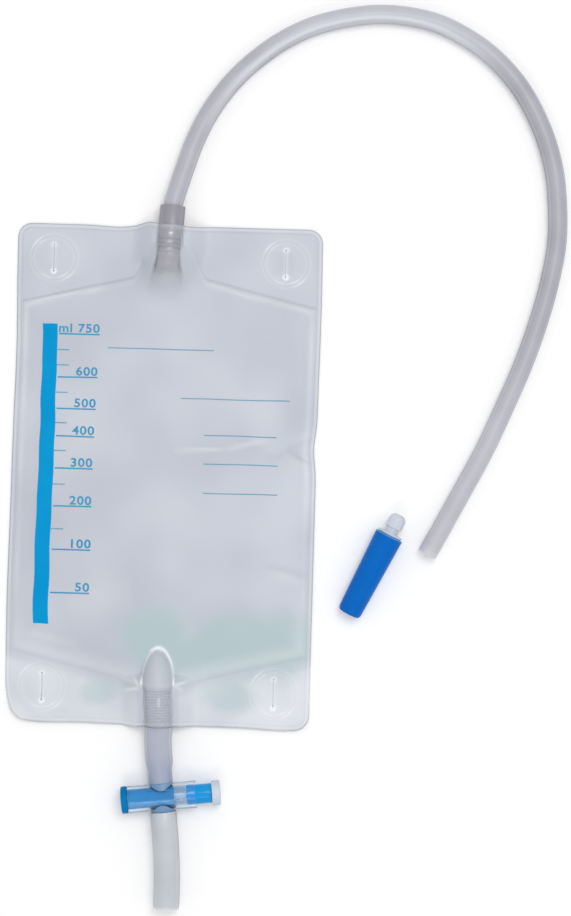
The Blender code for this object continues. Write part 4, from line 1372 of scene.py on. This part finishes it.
def add_outlet_tube():
    # Stops across the tube: painted shade at its edges and painted light bands between
    material = tube_plastic(
        "outlet_plastic",
        (
            (0.0, 177, 180, 196),
            (0.7, 180, 183, 198),
            (0.78, 174, 177, 192),
            (0.84, 194, 197, 210),
            (0.94, 188, 191, 204),
            (1.0, 156, 158, 173),
        ),
        0.3,
    )
    # Painted shade in the grooves between the ribs
    tint_by_attribute(material, "groove", colour(150, 148, 166), 0.35)
    tint_by_attribute(material, "stub", colour(156, 167, 190), 0.8)
    inner_end = outlet_axis(-OUTLET_INNER_END)
    rings = [(inner_end, both(OUTLET_RADIUS - OUTLET_END_LIP), both(OUTLET_BORE))]
    for count in range(OUTLET_RIBS):
        y = -OUTLET_INNER_END - (0.5 + count * OUTLET_RIB_PITCH) * MM
        for shift, low in OUTLET_RIB:
            centre = outlet_axis(y - shift * MM)
            rings.append((centre, both(OUTLET_RADIUS - low * MM), both(OUTLET_BORE)))
    edge = outlet_axis(-BAG_LENGTH / 2 - 1 * MM)
    middle = (edge + tap_point(-STUB_REACH - 2 * MM)) / 2 + OUTLET_BOW
    rings += [(point, both(OUTLET_RADIUS), both(OUTLET_BORE)) for point in (edge, middle)]
    grip = OUTLET_BORE - BARB_STEP
    for down, outer, bore in (
        (STUB_REACH + 2 * MM, OUTLET_RADIUS, OUTLET_BORE),
        (STUB_REACH - BARB_LENGTH, OUTLET_RADIUS, OUTLET_BORE),
        (STUB_REACH - 1.5 * BARB_LENGTH, OUTLET_GRIP_RADIUS + 0.45 * MM, OUTLET_BORE - 0.3 * MM),
        (STUB_REACH - 2 * BARB_LENGTH, OUTLET_GRIP_RADIUS, grip),
        (BOSS_REACH + LIP_LENGTH, OUTLET_GRIP_RADIUS, grip),
        (BOSS_REACH + BOND_GAP, OUTLET_GRIP_RADIUS - LIP_DEPTH, grip),
    ):
        rings.append((tap_point(-down), both(outer), both(bore)))
    bm = tube(rings)
    mark_grooves(bm, outlet_axis, OUTLET_RADIUS)
    mark(bm, "stub", lambda spot: smoothstep(138 * MM, 148 * MM, -spot.y))
    finished("outlet_hose", bm, material, "bag", "port", "outlet_tube")


def add_drain_tube():
    # Stops across the tube: painted shade at its edges and painted light bands between
    material = tube_plastic(
        "drain_plastic",
        (
            (0.0, 205, 212, 218),
            (0.6, 204, 211, 217),
            (0.67, 200, 207, 213),
            (0.73, 208, 213, 219),
            (0.93, 206, 211, 217),
            (1.0, 160, 166, 176),
        ),
        0.28,
        alpha=0.92,
        bump=0.004,
    )
    # Painted highlight on the tube's cut end
    tint_by_attribute(material, "rim", colour(236, 240, 244), 0.8)
    grip = DRAIN_BORE - BARB_STEP
    rings = []
    for down, outer, bore in (
        (BOSS_REACH + BOND_GAP, DRAIN_RADIUS - LIP_DEPTH, grip),
        (BOSS_REACH + LIP_LENGTH, DRAIN_RADIUS, grip),
        (STUB_REACH - 2 * BARB_LENGTH, DRAIN_RADIUS, grip),
        (STUB_REACH - BARB_LENGTH, DRAIN_RADIUS, DRAIN_BORE),
        (STUB_REACH + 1 * MM, DRAIN_RADIUS, DRAIN_BORE),
    ):
        rings.append((tap_point(down), both(outer), both(bore)))
    start = rings[-1][0]
    for step in range(1, DRAIN_STATIONS + 1):
        share = step / DRAIN_STATIONS
        centre = start.lerp(DRAIN_END, share) + DRAIN_BOW * math.sin(math.pi * share)
        lip = END_LIP if step == DRAIN_STATIONS else 0
        rings.append((centre, both(DRAIN_RADIUS - lip), both(DRAIN_BORE + lip / 2)))
    bm = tube(rings)
    mark(bm, "rim", lambda spot: 1 - smoothstep(0.2 * MM, 0.9 * MM, spot.y - DRAIN_END.y))
    finished("drain_hose", bm, material, "bag", "drain_tube", "drain_tube")


# Slide tap

def placed(bm, matrix):
    bmesh.ops.transform(bm, matrix=matrix, verts=bm.verts)
    return bm


def stub_outline(barb_radius):
    root = barb_radius - BARB_STEP
    return [
        (0, BOSS_RADIUS, 0),
        (BOSS_REACH, BOSS_RADIUS, 0.3 * MM),
        (BOSS_REACH, root, 0.2 * MM),
        (STUB_REACH - 2 * BARB_LENGTH, root, 0),
        (STUB_REACH - BARB_LENGTH, barb_radius, 0.3 * MM),
        (STUB_REACH, barb_radius, 0.6 * MM),
        (STUB_REACH, 0, 0),
    ]


def repaint(item, material, belongs):
    """Gives a second material to the faces whose place in the tap's own frame belongs."""
    item.data.materials.append(material)
    back = tap_matrix().inverted()
    for face in item.data.polygons:
        if belongs(back @ face.center):
            face.material_index = 1


PISTON_LEAD = 1 * MM
SOCKET_DEPTH = 8 * MM


def add_tap_body():
    clear = plastic(
        "tap_clear_plastic",
        colour(222, 238, 250),
        colour(230, 242, 252),
        0.03,
        patch=60.0,
        bump=0.0,
        Transmission_Weight=1.0,
        IOR=1.2,
        Coat_Weight=0.4,
        Coat_Roughness=0.05,
    )
    frosted = plastic(
        "boss_frosted_plastic",
        colour(112, 150, 190),
        colour(120, 158, 198),
        0.3,
        patch=60.0,
        bump=0.01,
        alpha=0.85,
    )
    quarter = Matrix.Rotation(math.pi / 2, 4, "Z") @ Matrix.Rotation(math.pi / SIDES, 4, "X")
    upper = stub_outline(OUTLET_BORE - TOUCH)
    lower = stub_outline(DRAIN_BORE - TOUCH)
    stubs = [(-along, radius, rounding) for along, radius, rounding in reversed(lower)] + upper[1:]
    mesh = cut(
        "tap_barrel",
        rod(BARREL_HALF_LENGTH, BARREL_RADIUS, 0.5 * MM),
        [
            ("UNION", placed(turned(stubs), quarter)),
            ("DIFFERENCE", rod(BARREL_HALF_LENGTH + 5 * MM, BARREL_BORE)),
            ("DIFFERENCE", placed(rod(STUB_REACH + 5 * MM, FLOW_BORE), quarter)),
        ],
    )
    mesh.transform(tap_matrix())
    body = finished_mesh("tap_barrel", mesh, clear, "bag", "clear_plastic", "tap_body")

    def on_boss(spot):
        around = math.hypot(spot.x, spot.z) / BOSS_RADIUS
        return 0.95 < around < 1.01 and math.hypot(spot.y, spot.z) > BARREL_RADIUS

    repaint(body, frosted, on_boss)


def add_piston():
    deep_blue = plastic(
        "piston_blue_plastic",
        colour(0, 136, 192),
        colour(4, 146, 204),
        0.3,
        bump=0.05,
        Specular_IOR_Level=0.08,
    )
    # Painted highlight: a light streak along the piston's lower side and paler bands near both edges
    tint_by_attribute(deep_blue, "sheen", colour(150, 208, 246), 0.55)
    dark_blue = plastic(
        "disc_blue_plastic",
        colour(0, 118, 178),
        colour(2, 126, 186),
        0.3,
        bump=0.05,
        Specular_IOR_Level=0.05,
    )
    disc = -BARREL_HALF_LENGTH - TOUCH
    socket = SPINDLE_RADIUS + TOUCH
    piston = turned(
        [
            (disc - END_DISC, 0, 0),
            (disc - END_DISC, BARREL_RADIUS, 0.7 * MM),
            (disc, BARREL_RADIUS, 0.25 * MM),
            (disc, SLIDER_RADIUS, 0.1 * MM),
            (disc + PISTON_LEAD, SLIDER_RADIUS, 0),
            (WAIST_START, SLIDER_RADIUS, 0.4 * MM),
            (WAIST_START, socket, 0),
            (WAIST_START - SOCKET_DEPTH, socket, 0),
            (WAIST_START - SOCKET_DEPTH, 0, 0),
        ]
    )

    def sheen(spot):
        aside = spot.y / SLIDER_RADIUS
        streaks = max(bump_at(aside, -0.5, 0.28), 0.35 * smoothstep(0.75, 1, abs(aside)))
        return smoothstep(disc, disc + PISTON_LEAD, spot.x) * streaks

    mark(piston, "sheen", sheen)
    placed(piston, tap_matrix())
    item = finished("tap_piston_body", piston, deep_blue, "tap_slider", "tap_blue", "tap_piston")
    repaint(item, dark_blue, lambda spot: spot.x < disc)


def add_collar():
    blue = plastic(
        "tap_blue_plastic",
        colour(4, 150, 220),
        colour(10, 160, 228),
        0.12,
        Specular_IOR_Level=0.2,
    )
    socket = SPINDLE_RADIUS + TOUCH
    collar = turned(
        [
            (WAIST_END, socket, 0),
            (WAIST_END, SLIDER_RADIUS, 0.4 * MM),
            (KNOB_FACE - TOUCH, SLIDER_RADIUS, 0.15 * MM),
            (KNOB_FACE - TOUCH, socket, 0),
        ]
    )
    placed(collar, tap_matrix())
    finished("tap_collar_body", collar, blue, "tap_slider", "tap_blue", "tap_collar")


def add_spindle():
    shade, light = colour(197, 208, 224), colour(206, 216, 230)
    white = plastic("knob_white_plastic", shade, light, 0.35, bump=0.05)
    start = WAIST_START - SOCKET_DEPTH + TOUCH
    spindle = turned(
        [
            (start, 0, 0),
            (start, SPINDLE_RADIUS, 0.3 * MM),
            (KNOB_FACE, SPINDLE_RADIUS, 0),
            (KNOB_FACE, KNOB_RADIUS, 0.3 * MM),
            (KNOB_FACE + KNOB_THICKNESS, KNOB_RADIUS, 0.7 * MM),
            (KNOB_FACE + KNOB_THICKNESS, 0, 0),
        ]
    )
    placed(spindle, tap_matrix())
    finished("tap_knob_spindle", spindle, white, "tap_slider", "white_plastic", "tap_spindle")


# Cap and connector

def cap_matrix():
    return Matrix.Translation(CAP_MOUTH) @ Euler((0, -CAP_TILT, CAP_TURN)).to_matrix().to_4x4()


RIM_LENGTH = 0.9 * MM

# Connector: the plug in the cap's mouth, the flange on it, the neck and the rounded tip
PLUG_DEPTH = 3 * MM
PLUG_PLAY = 0.1 * MM
NOZZLE_STEP = 0.8 * MM
NOZZLE_TAPER = 0.35 * MM
CONNECTOR_BORE = 2.4 * MM
FLANGE_RADIUS = 6.5 * MM
FLANGE_THICKNESS = 1 * MM
NECK_RADIUS = 3.4 * MM
NECK_LENGTH = 2.6 * MM
TIP_RADIUS = 4.3 * MM
TIP_LENGTH = 7.3 * MM


def add_cap():
    blue = plastic(
        "cap_blue_plastic",
        colour(2, 100, 190),
        colour(4, 106, 196),
        0.22,
        patch=50.0,
        bump=0.05,
        Specular_IOR_Level=0.08,
    )
    # Painted light at the mouth, where light shows through the thin wall
    tint_by_attribute(blue, "rim", colour(110, 182, 228), 0.7)
    inner_end = 2 * CAP_WALL - CAP_LENGTH
    inner_radius = CAP_MOUTH_RADIUS - CAP_WALL
    narrowing = RIM_LENGTH * math.tan(CAP_TILT)
    cap = turned(
        [
            (-CAP_LENGTH, 0, 0),
            (-CAP_LENGTH, CAP_END_RADIUS, 2.4 * MM),
            (-RIM_LENGTH, CAP_MOUTH_RADIUS - narrowing, 0),
            (0, CAP_MOUTH_RADIUS, 0.4 * MM),
            (0, inner_radius, 0.2 * MM),
            (-RIM_LENGTH, inner_radius - narrowing, 0),
            (inner_end, CAP_END_RADIUS - CAP_WALL + 0.07 * MM, 0),
            (inner_end, 0, 0),
        ]
    )
    mark(cap, "rim", lambda spot: smoothstep(-0.7 * MM, -0.1 * MM, spot.x))
    placed(cap, cap_matrix())
    finished("connector_cap_shell", cap, blue, "bag", "cap_blue", "connector_cap")


def nozzle_outline():
    """The stepped nozzle from its tip up to the plug, as an outline to be turned."""
    along = TOUCH - PLUG_DEPTH
    outline = []
    for radius, length in NOZZLE_STEPS:
        outline.append((along, radius, 0.2 * MM))
        outline.append((along - length + NOZZLE_STEP, radius - NOZZLE_TAPER, 0.2 * MM))
        along -= length
    outline.append((along, outline[-1][1] - 0.6 * MM, 0))
    outline.append((along, CONNECTOR_BORE, 0))
    return outline[::-1]


def add_connector():
    shade, light = colour(197, 204, 215), colour(208, 214, 224)
    white = plastic("connector_white_plastic", shade, light, 0.3, bump=0.05)
    plug = CAP_MOUTH_RADIUS - CAP_WALL - TOUCH - PLUG_PLAY
    face = TOUCH + FLANGE_THICKNESS
    neck = face + NECK_LENGTH
    tip = neck + TIP_LENGTH
    outline = nozzle_outline() + [
        (TOUCH - PLUG_DEPTH, plug - 0.3 * MM, 0.1 * MM),
        (TOUCH, plug, 0),
        (TOUCH, FLANGE_RADIUS, 0.2 * MM),
        (face, FLANGE_RADIUS, 0.25 * MM),
        (face, NECK_RADIUS, 0.3 * MM),
        (neck, NECK_RADIUS, 0.2 * MM),
        (neck + 0.2 * MM, TIP_RADIUS, 0.6 * MM),
        (tip - 2 * MM, TIP_RADIUS, 0.8 * MM),
        (tip, 3 * MM, 0.7 * MM),
        (tip, CONNECTOR_BORE, 0.2 * MM),
    ]
    body = placed(turned(outline), cap_matrix())
    finished("connector_body", body, white, "connector", "white_plastic", "catheter_connector")


# Stage

FLOOR_SIZE = 6
FLOOR_DROP = 0.1 * MM
FLOOR_GLOW = 0.13
WORLD_LIGHT = 0.66


def seen_directly(tree, strength):
    """Strength for what the camera sees straight, mirrored or through plastic, otherwise 0."""
    path = tree.nodes.new("ShaderNodeLightPath")
    total = path.outputs["Is Camera Ray"]
    for label in ("Is Glossy Ray", "Is Transmission Ray"):
        pair = {0: total, 1: path.outputs[label]}
        total = node(tree, "ShaderNodeMath", pair, operation="MAXIMUM").outputs[0]
    return node(tree, "ShaderNodeMath", {0: total, 1: strength}, operation="MULTIPLY").outputs[0]


def add_floor():
    bm = bmesh.new()
    bmesh.ops.create_grid(bm, x_segments=1, y_segments=1, size=FLOOR_SIZE)
    bmesh.ops.translate(bm, verts=bm.verts, vec=(0, 0, -FLOOR_DROP))
    floor = new_object("floor", bm)
    made = bpy.data.materials.new("pale_floor")
    made.use_nodes = True
    tree = made.node_tree
    shader = tree.nodes["Principled BSDF"]
    shader.inputs["Base Color"].default_value = (0.9, 0.9, 0.9, 1)
    shader.inputs["Roughness"].default_value = 1
    shader.inputs["Specular IOR Level"].default_value = 0
    shader.inputs["Emission Color"].default_value = (1, 1, 1, 1)
    tree.links.new(seen_directly(tree, FLOOR_GLOW), shader.inputs["Emission Strength"])
    floor.data.materials.append(made)


def add_world():
    world = bpy.data.worlds.new("plain_studio")
    world.use_nodes = True
    tree = world.node_tree
    background = tree.nodes["Background"]
    background.inputs["Color"].default_value = (1, 1, 1, 1)
    direct = seen_directly(tree, 1.0)
    rest = node(
        tree,
        "ShaderNodeMapRange",
        {"Value": direct, "To Min": WORLD_LIGHT, "To Max": 1.0},
    )
    tree.links.new(rest.outputs["Result"], background.inputs["Strength"])
    bpy.context.scene.world = world


def add_lamp(name, place, width, depth, power):
    data = bpy.data.lights.new(name, "AREA")
    data.shape = "ELLIPSE"
    data.size = width
    data.size_y = depth
    data.energy = power
    item = bpy.data.objects.new(name, data)
    item.location = place
    item.rotation_euler = (Vector(place) - VIEW_MIDDLE).to_track_quat("Z", "Y").to_euler()
    bpy.context.collection.objects.link(item)


def add_camera():
    data = bpy.data.cameras.new("camera")
    data.lens = LENS
    data.sensor_width = SENSOR
    camera = bpy.data.objects.new("camera", data)
    camera.location = VIEW_MIDDLE + Vector((0, 0, VIEW_HEIGHT * LENS / SENSOR))
    camera.rotation_euler = (0, 0, VIEW_TURN)
    bpy.context.collection.objects.link(camera)
    bpy.context.scene.camera = camera


def main():
    add_camera()
    add_hose()
    add_films()
    add_print()
    add_inlet_port()
    add_valve()
    add_outlet_tube()
    add_drain_tube()
    add_tap_body()
    add_piston()
    add_collar()
    add_spindle()
    add_cap()
    add_connector()
    add_floor()
    add_world()
    add_lamp("key_lamp", (0.3, 0.36, 1.3), 0.7, 0.7, 6.2)
    add_lamp("side_lamp", (0, -0.8, 1.05), 0.6, 0.12, 1.2)
    bpy.context.scene.view_settings.view_transform = "Standard"


main()
